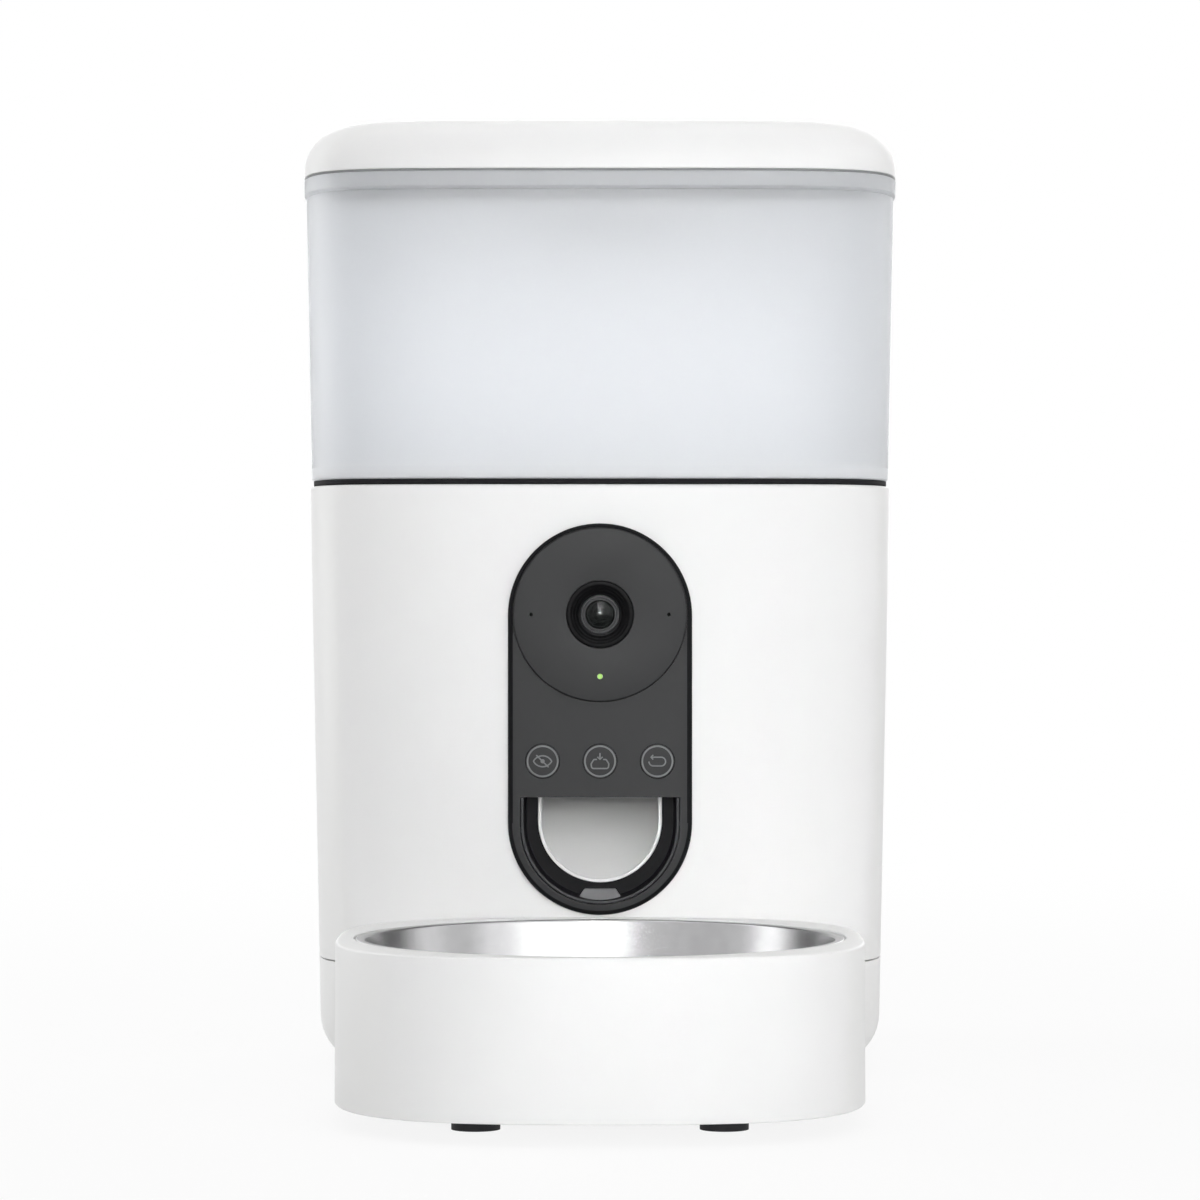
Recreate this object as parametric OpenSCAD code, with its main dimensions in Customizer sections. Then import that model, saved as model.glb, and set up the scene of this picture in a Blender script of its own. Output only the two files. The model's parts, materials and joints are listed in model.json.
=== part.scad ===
// Pet feeder with camera: a drafted square tower with a lift-off food hopper and lid,
// a metering rotor driven by a small gear train, a chute behind the front panel,
// and a steel bowl in a tray that hooks onto the base.
// Millimetres, +Z up, the front faces -Y, the floor is z = 0.

/* [Body] */
// Width of the tower at the lid line
body_w = 190; // [180:1:205]
// Depth of the tower
body_d = 176; // [170:1:190]
// Draft of the side walls, in degrees per side
side_draft = 1.13; // [0:0.01:1.8]
// Squareness of the plan outline, 2 is round
corner_power = 6; // [5:0.5:8]
// Height of the seam between base and body
base_top_z = 37; // [32:1:40]
// Height of the top edge of the body
body_top_z = 186.5; // [180:0.5:195]
// Wall of the base and the body
shell_wall = 2.5; // [2:0.1:3]
// Rounding of the lower edge of the base
base_fillet = 16; // [10:1:24]
// Rounding of the upper edge of the body
body_edge = 1; // [0.5:0.1:1.5]
// Open seam between base and body
seam_gap = 0.4; // [0.2:0.1:0.8]
// Height of the lip inside the seam
lip_h = 3; // [2:0.5:5]
// Thickness of the lip inside the seam
lip_t = 1.5; // [1:0.1:2.5]
// Height of the base above the floor
foot_h = 2.5; // [2:0.5:5]
// Radius of a base foot
foot_r = 9; // [6:0.5:10]
// Depth of the seat of a base foot
foot_seat = 1; // [0.5:0.1:1.5]
// Distance of the feet from the middle, sideways
foot_x = 40; // [34:1:42]
// Distance of the feet from the middle, front to back
foot_y = 54; // [48:1:56]

/* [Hopper] */
// Shadow gap between body and hopper
hopper_gap = 1.8; // [0.8:0.1:3]
// Height of the hopper wall from the shadow gap to the lid line
hopper_h = 95.7; // [80:0.1:120]
// Wall of the hopper
hopper_wall = 2.2; // [1.8:0.1:3]
// Height of the band round the hopper mouth
band_h = 4.6; // [3:0.1:8]
// How far that band stands proud of the wall
band_proud = 0.6; // [0.3:0.1:1.2]
// Depth of the hopper skirt inside the body
skirt_depth = 10; // [6:0.5:11]
// Clearance of the skirt in the body
skirt_clear = 0.4; // [0.3:0.1:0.8]
// Height of the shoulder that holds the funnel, above the wall's lower edge
shoulder_h = 2; // [2:0.5:6]
// Wall of the funnel
funnel_wall = 2; // [1.5:0.1:3]
// Height of the funnel flange
funnel_flange = 2; // [1.5:0.1:3]
// Height of the straight spout under the funnel
spout_h = 5; // [3:0.5:8]
// Height of the funnel cone
cone_h = 22; // [16:1:24]

/* [Lid] */
// Height of the lid
lid_h = 17; // [16:0.5:22]
// Rounding of the lid's upper edge
lid_fillet = 14; // [8:0.5:15]
// Wall of the lid
lid_wall = 2.5; // [2:0.1:3]
// Depth of the plug under the lid line
plug_depth = 12; // [10:0.5:16]
// Gap between plug and hopper, which the seal fills
plug_gap = 3.2; // [2.5:0.1:4.5]
// Wall of the plug
plug_wall = 2; // [1.5:0.1:3]
// Height of the seal
seal_h = 4; // [3:0.5:6]
// Distance of the lid screws from the middle, sideways
lid_screw_x = 60; // [50:1:66]
// Distance of the lid screws from the middle, front to back
lid_screw_y = 54; // [48:1:58]
// Inside radius of the desiccant cup
cup_r = 26; // [20:0.5:34]
// Height of the desiccant cup
cup_h = 14; // [10:0.5:16]

/* [Tray and bowl] */
// Width of the tray at its rim
tray_w = 153.5; // [152:0.5:170]
// How far the tray stands out in front of the tower
tray_reach = 153; // [149:1:165]
// Gap between tower and tray
tray_gap = 1; // [0.6:0.1:2]
// Height of the tray's rim
tray_rim_z = 52; // [44:0.5:58]
// Height of the tray's lower edge above the floor
tray_lift = 6; // [4:0.5:9]
// How much wider each side of the tray is at its lower edge
tray_flare = 0.2; // [0:0.1:2]
// Squareness of the tray's plan outline
tray_power = 3; // [2.5:0.1:4]
// Wall of the tray
tray_wall = 2.5; // [2:0.1:3.5]
// Rounding of the tray's rim
tray_edge = 1; // [1:0.1:2]
// Diameter of the bowl's rim
bowl_rim_d = 143; // [130:1:144]
// Width of the bowl's flat rim
bowl_rim_w = 2.6; // [2:0.1:5]
// Depth of the bowl
bowl_depth = 38; // [28:1:40]
// Rounding between the bowl's wall and its floor
bowl_round = 14; // [8:1:18]
// How far the bowl's wall leans in, top to bottom
bowl_lean = 5; // [2:0.5:9]
// Sheet of the bowl
bowl_t = 0.8; // [0.6:0.1:1.5]
// Radius of a tray foot
tray_foot_r = 7; // [5:0.5:9]
// Distance of the tray feet from the bowl's axis
tray_foot_ring = 50; // [36:1:52]
// Distance of each hook from the middle
hook_x = 30; // [20:1:40]
// Width of a hook
hook_w = 16; // [10:1:20]
// Thickness of a hook
hook_t = 4; // [3:0.5:5]
// Height of a hook's underside
hook_z = 26; // [25:0.5:27]
// How far a hook reaches behind the wall of the base
hook_reach = 5; // [3:0.5:9]

/* [Front panel] */
// Width of the panel
panel_w = 57.2; // [56:0.1:64]
// Height of the panel
panel_h = 121.6; // [118:0.1:124]
// Height of the panel's middle
panel_z = 113.5; // [112:0.5:115]
// How far the panel stands proud of the body
panel_proud = 2.5; // [2:0.1:4]
// Bevel round the panel
panel_bevel = 0.8; // [0.4:0.1:1]
// Step from the panel's edge to its spigot
spigot_step = 1.6; // [1.4:0.1:2]
// Clearance of the spigot in the body
spigot_clear = 0.25; // [0.15:0.05:0.5]
// Depth of the spigot behind the inner face of the body
spigot_depth = 1; // [0.8:0.1:2]
// Height of the camera's axis
camera_z = 146; // [145:0.5:147]
// Diameter of the camera cover
cover_d = 54; // [50:0.5:54]
// How far the cover stands proud of the panel
cover_proud = 1.2; // [0.6:0.1:2]
// Depth of the cover's seat in the panel
cover_seat = 2; // [1.5:0.1:2.2]
// Diameter of the hole behind the cover
cover_hole_d = 48; // [46:0.5:48.5]
// Outside diameter of the lens hood
hood_d = 20.6; // [18:0.2:24]
// Diameter of the lens barrel
barrel_d = 12; // [10:0.2:14]
// Length of the lens barrel
barrel_l = 12.6; // [11:0.2:13]
// Diameter of the front lens
glass_d = 8.8; // [6:0.2:9]
// Distance of each microphone from the lens
mic_x = 21.4; // [20.5:0.1:21.8]
// Diameter of a microphone hole
mic_hole_d = 1.2; // [0.8:0.1:2]
// Distance of the status light under the lens
light_drop = 19.2; // [18.5:0.1:21]
// Diameter of the status light
light_d = 1.6; // [1.2:0.1:2.4]
// Side of the camera board
camera_board_w = 30; // [24:1:34]
// Diameter of a key
key_d = 10.4; // [8:0.1:11]
// Spacing of the keys
key_pitch = 17.8; // [15.6:0.1:18]
// Height of the keys
key_z = 100.5; // [99.5:0.5:102]
// Travel of a key
key_travel = 0.6; // [0.3:0.1:0.8]
// Clearance round a key
key_clear = 0.2; // [0.15:0.05:0.3]

/* [Outlet] */
// Width of the chute's mouth
mouth_w = 36.5; // [32:0.5:38]
// Height of the top of the mouth
mouth_top_z = 89; // [86:0.5:89]
// Height of the mouth
mouth_h = 25.5; // [22:0.5:26]
// Depth of the recess round the mouth
recess_depth = 7; // [5:0.5:7.5]
// Margin of the recess round the mouth
recess_margin = 5.4; // [4:0.1:5.6]
// Rim of the recess
recess_rim = 1; // [0.8:0.1:1.4]
// Wall of the mouth's collar
collar_t = 0.9; // [0.7:0.1:1.5]
// Wall of the chute
chute_wall = 2; // [1.5:0.1:2.5]

/* [Metering] */
// Distance of the rotor's axis behind the front of the tower
chamber_setback = 81.5; // [80:0.5:84]
// Inside radius of the rotor chamber
chamber_r = 52; // [50:0.5:53]
// Height of the chamber's floor
chamber_floor_z = 118; // [114:0.5:120]
// Height of the chamber
chamber_h = 32; // [28:0.5:36]
// Wall of the chamber
chamber_wall = 2; // [1.5:0.1:2.5]
// Thickness of the deck round the chamber
deck_t = 3; // [2.5:0.1:4]
// Number of vanes
vane_count = 6; // [5:1:8]
// Thickness of a vane
vane_t = 3; // [2:0.1:4]
// Radius of the stiff part of the rotor
vane_r = 46; // [42:0.5:47]
// Clearance of the soft vane tips in the chamber
tip_clear = 0.6; // [0.4:0.1:1]
// Radius of the rotor's hub
hub_r = 10; // [8:0.5:12]
// Distance of the outlet's near edge from the rotor's axis
outlet_near = 14; // [13:0.5:18]
// Distance of the outlet's far edge from the rotor's axis
outlet_far = 48; // [44:0.5:48.5]
// Thickness of the shield over the outlet
shield_t = 2; // [1.2:0.1:2.2]
// Half angle of the shield
shield_angle = 48; // [40:1:60]
// Radius of the drive shaft
shaft_r = 4; // [3:0.1:5]
// Radial clearance of a turning shaft
run_clear = 0.06; // [0.03:0.01:0.1]
// Reach of the stirrer's arms
stirrer_r = 34; // [24:1:40]
// Height of the stirrer's pegs
peg_h = 14; // [8:1:18]

/* [Gear train] */
// Module of the teeth
gear_module = 1; // [0.9:0.05:1.1]
// Teeth of the gear on the drive shaft
output_teeth = 42; // [38:1:44]
// Teeth of the idler's small gear
idler_small_teeth = 14; // [14:1:16]
// Teeth of the idler's large gear
idler_large_teeth = 38; // [34:1:40]
// Teeth of the motor pinion
pinion_teeth = 14; // [14:1:16]
// Face width of the gears
gear_t = 6; // [4:0.5:6.5]
// Backlash at the pitch circle
backlash = 0.24; // [0.16:0.02:0.4]
// Wall of the gearbox
case_wall = 2; // [1.6:0.1:3]
// Height of the gearbox case
case_h = 22; // [21:0.5:24]
// Thickness of the gearbox cover
case_cover_t = 3; // [2:0.1:4]
// Length of the posts between deck and gearbox
post_h = 15; // [14:0.5:18]
// Radius of the motor
motor_r = 12; // [10:0.5:14]
// Length of the motor
motor_l = 32; // [24:1:36]
// Radius of the motor's shaft
motor_shaft_r = 1.5; // [1:0.1:2]
// Radius of the idler's pin
pin_r = 2; // [1.5:0.1:2.5]

/* [Electronics] */
// Width of the main board
board_w = 76; // [60:1:84]
// Height of the main board
board_h = 56; // [48:1:56]
// Height of the main board's lower edge
board_z = 42; // [40:0.5:44]
// Thickness of every circuit board
board_t = 1.6; // [1:0.1:2]
// Distance of the main board from the rear wall
standoff_h = 6; // [4:0.5:9]
// Radius of the speaker
speaker_r = 18; // [14:0.5:20]
// Height of the speaker's axis
speaker_z = 124; // [122:0.5:126]
// Depth of the speaker
speaker_d = 14; // [10:0.5:16]
// Number of slots in the speaker grille
grille_slots = 5; // [3:2:7]
// Height of the power socket's axis
socket_z = 52; // [50:0.5:60]

/* [Fasteners] */
// Radius of a screw's core
screw_r = 1.3; // [1:0.05:1.6]
// Radius of a screw's head
screw_head_r = 2.9; // [2.4:0.1:3.2]
// Height of a screw's head
screw_head_h = 2; // [1.6:0.1:2.4]
// Radial clearance of a screw in its hole
screw_clear = 0.1; // [0.06:0.02:0.2]
// Radius of a screw boss
boss_r = 5; // [4.6:0.1:6]
// Distance of the body's bosses from the middle, sideways
boss_x = 60; // [56:1:62]
// Distance of the body's bosses from the middle, front to back
boss_y = 52; // [48:1:54]
// Thickness of the ribs that tie the bosses to the wall
rib_t = 2.4; // [1.6:0.1:3]
// Small gap between pieces that are glued or clipped
glue_gap = 0.2; // [0.1:0.02:0.3]

/* [Hidden] */

$fn = 64;
outline_steps = 72;
fillet_steps = 6;
arc_steps = 24;
through = 1;

white = "#f3f3f1";
black = "#17181a";
charcoal = "#4b4d50";
frosted = "#ccd3da";
steel = "#c3c6c9";
rubber_grey = "#55585b";
board_green = "#1f5a3c";
nylon = "#e6e1d2";

// Places along the depth
overall_d = body_d + tray_reach;
back_y = overall_d / 2;
body_y = back_y - body_d / 2;
front_y = back_y - body_d;
chamber_y = front_y + chamber_setback;
tray_l = tray_reach - tray_gap;
tray_y = tray_l / 2 - overall_d / 2;

// Heights
shell_z = base_top_z + seam_gap;
hopper_z = body_top_z + hopper_gap;
lid_z = hopper_z + hopper_h;
deck_z = chamber_floor_z + chamber_h;
deck_top_z = deck_z + deck_t;
chute_top_z = chamber_floor_z - chamber_wall;
cover_top_z = chute_top_z - post_h;
case_top_z = cover_top_z - case_cover_t;
case_z = case_top_z - case_h;
shoulder_z = hopper_z + shoulder_h;

// Insets from the tower's outer surface
skirt_inset = shell_wall + skirt_clear;
skirt_inner_inset = skirt_inset + hopper_wall;
tank_inset = band_proud;
tank_inner_inset = band_proud + hopper_wall;
plug_inset = tank_inner_inset + plug_gap;
funnel_inset = skirt_inner_inset + glue_gap;

// Front panel, front to back
panel_face_y = front_y - panel_proud;
cover_face_y = panel_face_y - cover_proud;
cover_back_y = panel_face_y + cover_seat;
spigot_back_y = front_y + shell_wall + spigot_depth;
recess_floor_y = panel_face_y + recess_depth;
bezel_floor_t = 2;
bezel_back_y = recess_floor_y + bezel_floor_t;
panel_r = panel_w / 2;
panel_half = panel_h / 2 - panel_r;

// Mouth and recess outlines
mouth_r = mouth_w / 2;
mouth_bottom_z = mouth_top_z - mouth_h;
mouth_centre_z = mouth_bottom_z + mouth_r;
recess_r = mouth_r + recess_margin;
recess_top_z = mouth_top_z + 2 * collar_t;
recess_centre_z = mouth_centre_z - collar_t;

// Corner and screw places
boss_places = [for (i = [-1, 1], j = [-1, 1]) [i * boss_x, body_y + j * boss_y]];
foot_places = [for (i = [-1, 1], j = [-1, 1]) [i * foot_x, body_y + j * foot_y]];
lid_screw_places = [for (i = [-1, 1], j = [-1, 1]) [i * lid_screw_x, body_y + j * lid_screw_y]];
screw_hole_r = screw_r + screw_clear;
head_hole_r = screw_head_r + 2 * screw_clear;

// Width of the tower at a height, and a section of it inset by a wall
function width_at(z) = body_w - 2 * (lid_z - z) * tan(side_draft);
function tower(z, inset) = [z, width_at(z) - 2 * inset, body_d - 2 * inset, corner_power, body_y];

// A squircle outline
function signed_pow(v, p) = sign(v) * pow(abs(v), p);
function squircle(w, d, power) = [
    for (i = [0:outline_steps - 1])
        let (a = 360 * i / outline_steps)
            [w / 2 * signed_pow(cos(a), 2 / power), d / 2 * signed_pow(sin(a), 2 / power)]
];

// Arc points, and the outlines that are drawn with them
function arc(x, y, r, from, to) = [
    for (i = [0:arc_steps])
        let (a = from + (to - from) * i / arc_steps)
            [x + r * cos(a), y + r * sin(a)]
];
function stadium(r, half, z) = concat(arc(0, z + half, r, 0, 180), arc(0, z - half, r, 180, 360));
function u_outline(r, centre_z, top_z) = concat([[r, top_z], [-r, top_z]], arc(0, centre_z, r, 180, 360));

// Rings of points for a stack of squircle sections: height, width, depth, squareness, middle
function ring(s) = [for (p = squircle(s[1], s[2], s[3])) [p[0], s[4] + p[1], s[0]]];

// A closed skin over a stack of rings with equal numbers of points
module skin(rings) {
    count = len(rings[0]);
    last = len(rings) - 1;
    sides = [
        for (i = [0:last - 1], j = [0:count - 1])
            let (k = (j + 1) % count, low = i * count, high = low + count)
                each [[low + j, high + j, high + k], [low + j, high + k, low + k]]
    ];
    floor_face = [for (j = [0:count - 1]) j];
    top_face = [for (j = [0:count - 1]) last * count + count - 1 - j];
    polyhedron([for (r = rings) each r], concat([floor_face], sides, [top_face]));
}

// A solid through squircle sections
module loft(sections) {
    skin([for (s = sections) ring(s)]);
}

// A flat outline in x and z, drawn out from one depth to another
module along_y(from, to) {
    translate([0, to, 0])
        rotate([90, 0, 0])
            linear_extrude(to - from)
                children();
}

// A flat outline in y and z, drawn out evenly to both sides
module along_x(half) {
    translate([-half, 0, 0])
        rotate([90, 0, 90])
            linear_extrude(2 * half)
                children();
}

// A round piece about an axis along the depth, from one depth to another
module disc_y(x, z, r, from, to) {
    translate([x, from, z])
        rotate([-90, 0, 0])
            cylinder(r = r, h = to - from);
}

// A revolved profile of radius and depth about an axis along the depth
module turned_y(x, z, profile) {
    translate([x, 0, z])
        rotate([-90, 0, 0])
            rotate_extrude()
                polygon(profile);
}

// An upright cylinder at a place, from one height to another
module column(place, r, from, to) {
    translate([place[0], place[1], from])
        cylinder(r = r, h = to - from);
}

// A block between two corners
module block(low, high) {
    translate(low)
        cube(high - low);
}

// A screw standing on its head, or hanging from it
module screw(place, head_z, length, up) {
    turn = up ? 0 : 180;
    translate([place[0], place[1], head_z])
        rotate([turn, 0, 0]) {
            translate([0, 0, -screw_head_h])
                cylinder(r = screw_head_r, h = screw_head_h);
            cylinder(r = screw_r, h = length);
        }
}

// Base of the tower
function base_fillet_sections(radius, inset, z) = [
    for (i = [0:fillet_steps])
        let (a = 90 * i / fillet_steps)
            tower(z + radius * (1 - cos(a)), inset + radius * (1 - sin(a)))
];
screw_sink = 6;
lip_inset = shell_wall + spigot_clear;
lip_root = 4;
hook_clear = 0.5;
hook_root = 1;

module base_shell() {
    color(white)
        difference() {
            union() {
                difference() {
                    loft(concat(base_fillet_sections(base_fillet, 0, foot_h), [tower(base_top_z, 0)]));
                    loft(concat(
                        base_fillet_sections(base_fillet - shell_wall, shell_wall, foot_h + shell_wall),
                        [tower(base_top_z + through, shell_wall)]
                    ));
                }
                seam_lip();
                for (p = boss_places)
                    column(p, boss_r, foot_h + shell_wall / 2, shell_z);
            }
            for (p = boss_places) {
                column(p, screw_hole_r, foot_h, shell_z + through);
                column(p, head_hole_r, foot_h - through, foot_h + screw_sink);
            }
            for (p = foot_places)
                column(p, foot_r + glue_gap, foot_h - through, foot_h + foot_seat);
            for (i = [-1, 1])
                hook_cut(i * hook_x);
        }
}

// Lip that stands up inside the seam and stops light and crumbs
module seam_lip() {
    difference() {
        union() {
            loft([tower(base_top_z - lip_root, shell_wall / 2), tower(base_top_z, shell_wall / 2)]);
            loft([tower(base_top_z - lip_root, lip_inset), tower(shell_z + lip_h, lip_inset)]);
        }
        loft([
            tower(base_top_z - lip_root - through, lip_inset + lip_t),
            tower(shell_z + lip_h + through, lip_inset + lip_t)
        ]);
    }
}

// Slot in the front of the base for a tray hook
module hook_cut(x) {
    block(
        [x - hook_w / 2 - hook_clear, front_y - through, hook_z - hook_clear],
        [x + hook_w / 2 + hook_clear, front_y + hook_reach + shell_wall, hook_z + hook_t + hook_clear]
    );
}

module base_feet() {
    color(rubber_grey)
        for (p = foot_places)
            column(p, foot_r, 0, foot_h + foot_seat);
}

module base_screws() {
    color(steel)
        for (p = boss_places)
            screw(p, foot_h + screw_sink, base_screw_l, true);
}
pilot_l = 12;
screw_short = 2;
base_screw_l = shell_z - foot_h - screw_sink + pilot_l - screw_short;

// Body of the tower
module body_shell() {
    color(white)
        difference() {
            union() {
                difference() {
                    loft([
                        tower(shell_z, 0),
                        tower(body_top_z - body_edge, 0),
                        tower(body_top_z - body_edge * (1 - cos(45)), body_edge * (1 - cos(45))),
                        tower(body_top_z, body_edge)
                    ]);
                    loft([tower(shell_z - through, shell_wall), tower(body_top_z + through, shell_wall)]);
                }
                intersection() {
                    body_ribs();
                    loft([tower(shell_z, shell_wall / 2), tower(body_top_z, shell_wall / 2)]);
                }
                for (p = boss_places)
                    column(p, boss_r, shell_z, deck_z);
                for (p = standoff_places)
                    disc_y(p[0], p[1], standoff_r, board_y + board_t, back_y - shell_wall / 2);
            }
            for (p = boss_places) {
                column(p, screw_hole_r, shell_z - through, shell_z + pilot_l);
                column(p, screw_hole_r, deck_z - pilot_l, deck_z + through);
            }
            along_y(front_y - through, front_y + 2 * shell_wall)
                polygon(stadium(panel_r - spigot_step + spigot_clear, panel_half, panel_z));
            speaker_grille();
            along_y(back_y - 2 * shell_wall, back_y + through)
                polygon(slot_outline(socket_w / 2 + glue_gap, socket_h / 2 + glue_gap, socket_z));
        }
}

// Ribs from the bosses to the side walls, above the lip
module body_ribs() {
    for (p = boss_places)
        block(
            [min(p[0], sign(p[0]) * body_w), p[1] - rib_t / 2, shell_z + lip_h + 2 * glue_gap],
            [max(p[0], sign(p[0]) * body_w), p[1] + rib_t / 2, deck_z]
        );
}

// Rows of upright slots in the rear wall
slot_w = 2.2;
slot_pitch = 5.2;
grille_margin = 4;
module speaker_grille() {
    for (i = [0:grille_slots - 1])
        let (
            x = (i - (grille_slots - 1) / 2) * slot_pitch,
            half = sqrt(pow(speaker_r - grille_margin, 2) - x * x)
        )
            block(
                [x - slot_w / 2, back_y - 2 * shell_wall, speaker_z - half],
                [x + slot_w / 2, back_y + through, speaker_z + half]
            );
}

// Deck with the rotor chamber under it
post_r = 4.5;
bearing_wall = 4;
bearing_r = shaft_r + bearing_wall;
module deck() {
    color(white)
        difference() {
            union() {
                loft([tower(deck_z, shell_wall + deck_clear), tower(deck_top_z, shell_wall + deck_clear)]);
                column([0, chamber_y], chamber_r + chamber_wall, chute_top_z, deck_top_z);
                column([0, chamber_y], bearing_r, cover_top_z, chamber_floor_z);
                for (p = lug_places)
                    column(p, post_r, cover_top_z, chamber_floor_z);
            }
            column([0, chamber_y], chamber_r, chamber_floor_z, deck_top_z + through);
            column([0, chamber_y], shaft_r + run_clear, cover_top_z - through, chamber_floor_z + through);
            block(
                [-mouth_r, chamber_y - outlet_far, chute_top_z - through],
                [mouth_r, chamber_y - outlet_near, chamber_floor_z + through]
            );
            for (p = lug_places)
                column(p, screw_hole_r, cover_top_z - through, cover_top_z + pilot_l);
            for (p = boss_places)
                column(p, screw_hole_r, deck_z - through, deck_top_z + through);
            translate([0, chamber_y, deck_top_z - shield_t])
                linear_extrude(shield_t + through)
                    shield_outline(glue_gap);
            camera_notch();
        }
}
deck_clear = 0.3;

// Room in the front of the deck for the camera and the panel's spigot
notch_room = 1.5;
module camera_notch() {
    half = max(panel_r - spigot_step + clip_out, camera_board_w / 2) + notch_room;
    block(
        [-half, front_y, deck_z - through],
        [half, tube_back_y + board_t + notch_room, deck_top_z + through]
    );
}

module deck_screws() {
    color(steel)
        for (p = boss_places)
            screw(p, deck_top_z, deck_t + pilot_l - screw_short, false);
}

// Shield that keeps food from falling straight through the outlet
shield_seat = 5;
hub_room = 2;
module shield_outline(grow) {
    reach = chamber_r + shield_seat + grow;
    far = reach / cos(shield_angle);
    side = far * sin(shield_angle);
    intersection() {
        circle(r = reach);
        translate([0, grow / sin(shield_angle)])
            polygon([[0, 0], [-2 * side, -2 * reach], [2 * side, -2 * reach]]);
    }
}

module outlet_shield() {
    color(white)
        translate([0, chamber_y, deck_top_z - shield_t])
            linear_extrude(shield_t)
                difference() {
                    shield_outline(0);
                    circle(r = hub_r + hub_room);
                }
}

// Chute from the chamber down to the mouth
collar_proud = 1.2;
chute_front_y = recess_floor_y - collar_proud;
chute_drop = 1;
collar_l = 9;
outlet_front_y = chamber_y - outlet_far;
outlet_back_y = chamber_y - outlet_near;
chute_low_z = mouth_bottom_z - chute_drop;
chute_slope = atan2(chute_top_z - chute_low_z, outlet_back_y - chute_front_y);
roof_y = chute_front_y + collar_l;
roof_slope = atan2(chute_top_z - mouth_top_z, outlet_front_y - roof_y);
duct_front_y = bezel_back_y + glue_gap;

module chute() {
    color(white)
        difference() {
            union() {
                along_y(chute_front_y, duct_front_y + collar_t)
                    polygon(u_outline(mouth_r + collar_t, mouth_centre_z, mouth_top_z + collar_t));
                intersection() {
                    along_x(mouth_r + chute_wall)
                        polygon(duct_outline(chute_wall));
                    block(
                        [-body_w, duct_front_y, 0],
                        [body_w, chamber_y, chute_top_z]
                    );
                }
                chute_flange();
            }
            intersection() {
                along_y(chute_front_y - through, roof_y)
                    polygon(u_outline(mouth_r, mouth_centre_z, mouth_top_z));
                along_x(body_w)
                    polygon(duct_outline(0));
            }
            intersection() {
                along_x(mouth_r)
                    polygon(duct_outline(0));
                block([-body_w, duct_front_y + collar_t, 0], [body_w, chamber_y, chute_top_z + through]);
            }
            for (i = [-1, 1])
                translate([i * (mouth_r + chute_wall / 2), sensor_y, sensor_z])
                    rotate([0, 90, 0])
                        cylinder(r = sensor_eye_r, h = 2 * chute_wall, center = true);
        }
}

// Side view of the duct, grown by a wall; it runs on past its open ends
function duct_outline(grow) = [
    [chute_front_y - through, chute_low_z - grow / cos(chute_slope) - through * tan(chute_slope)],
    [outlet_back_y + grow / sin(chute_slope), chute_top_z],
    [outlet_back_y + grow / sin(chute_slope), chute_top_z + through],
    [outlet_front_y - grow / sin(roof_slope), chute_top_z + through],
    [outlet_front_y - grow / sin(roof_slope), chute_top_z],
    [roof_y - grow * tan(roof_slope / 2), mouth_top_z + grow],
    [chute_front_y - through, mouth_top_z + grow]
];

// Flange that seals the chute against the chamber's floor
flange_w = 4;
module chute_flange() {
    block(
        [-mouth_r - flange_w, outlet_front_y - flange_w, chute_top_z - chute_wall],
        [mouth_r + flange_w, outlet_back_y + flange_w, chute_top_z]
    );
}

// Light gates that see food drop through the chute
sensor_size = [4, 8, 8];
sensor_eye_r = 1.5;
sensor_forward = 10;
sensor_up = 3;
sensor_y = (outlet_front_y + outlet_back_y) / 2 - sensor_forward;
sensor_z = (chute_top_z + mouth_bottom_z) / 2 + sensor_up;
module drop_sensors() {
    color(black)
        for (i = [-1, 1])
            translate([i * (mouth_r + chute_wall + sensor_size[0] / 2), sensor_y, sensor_z])
                cube(sensor_size, center = true);
}

// Involute gear teeth
pressure_angle = 25;
dedendum = 1.25;
flank_steps = 4;
function involute(a) = tan(a) * 180 / PI - a;
function pitch_r(teeth) = gear_module * teeth / 2;
function tip_r(teeth) = pitch_r(teeth) + gear_module;
function half_tooth(teeth, r) =
    let (base_r = pitch_r(teeth) * cos(pressure_angle))
        90 / teeth - backlash / 2 / pitch_r(teeth) * 180 / PI
            + involute(pressure_angle) - involute(acos(min(1, base_r / r)));
function polar(r, a) = [r * cos(a), r * sin(a)];
function gear_outline(teeth) =
    let (
        root_r = pitch_r(teeth) - dedendum * gear_module,
        start_r = max(root_r, pitch_r(teeth) * cos(pressure_angle)),
        radii = [for (i = [0:flank_steps]) start_r + (tip_r(teeth) - start_r) * i / flank_steps],
        root_half = half_tooth(teeth, start_r)
    )
        [
            for (k = [0:teeth - 1])
                let (a = 360 * k / teeth)
                    each concat(
                        [polar(root_r, a - root_half)],
                        [for (r = radii) polar(r, a - half_tooth(teeth, r))],
                        [for (i = [flank_steps:-1:0]) polar(radii[i], a + half_tooth(teeth, radii[i]))],
                        [polar(root_r, a + root_half)]
                    )
        ];

module gear(place, teeth, phase, from, to) {
    translate([place[0], place[1], from])
        rotate(phase)
            linear_extrude(to - from)
                polygon(gear_outline(teeth));
}

// Places of the gears: idler beside the drive shaft, pinion beside the idler
idler_angle = 45;
pinion_angle = 180;
layer_gap = 1;
shaft_place = [0, chamber_y];
idler_place = shaft_place + polar(pitch_r(output_teeth) + pitch_r(idler_small_teeth), idler_angle);
pinion_place = idler_place + polar(pitch_r(idler_large_teeth) + pitch_r(pinion_teeth), pinion_angle);
low_gear_z = case_z + case_wall + layer_gap;
high_gear_z = low_gear_z + gear_t + layer_gap;
gear_room = 1;
lug_out = 2;
lug_r = 4.8;
lug_places = [
    shaft_place + polar(tip_r(output_teeth) + gear_room + case_wall + lug_out, 185),
    idler_place + polar(tip_r(idler_large_teeth) + gear_room + case_wall + lug_out, -20),
    idler_place + polar(tip_r(idler_large_teeth) + gear_room + case_wall + lug_out, 95)
];

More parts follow.
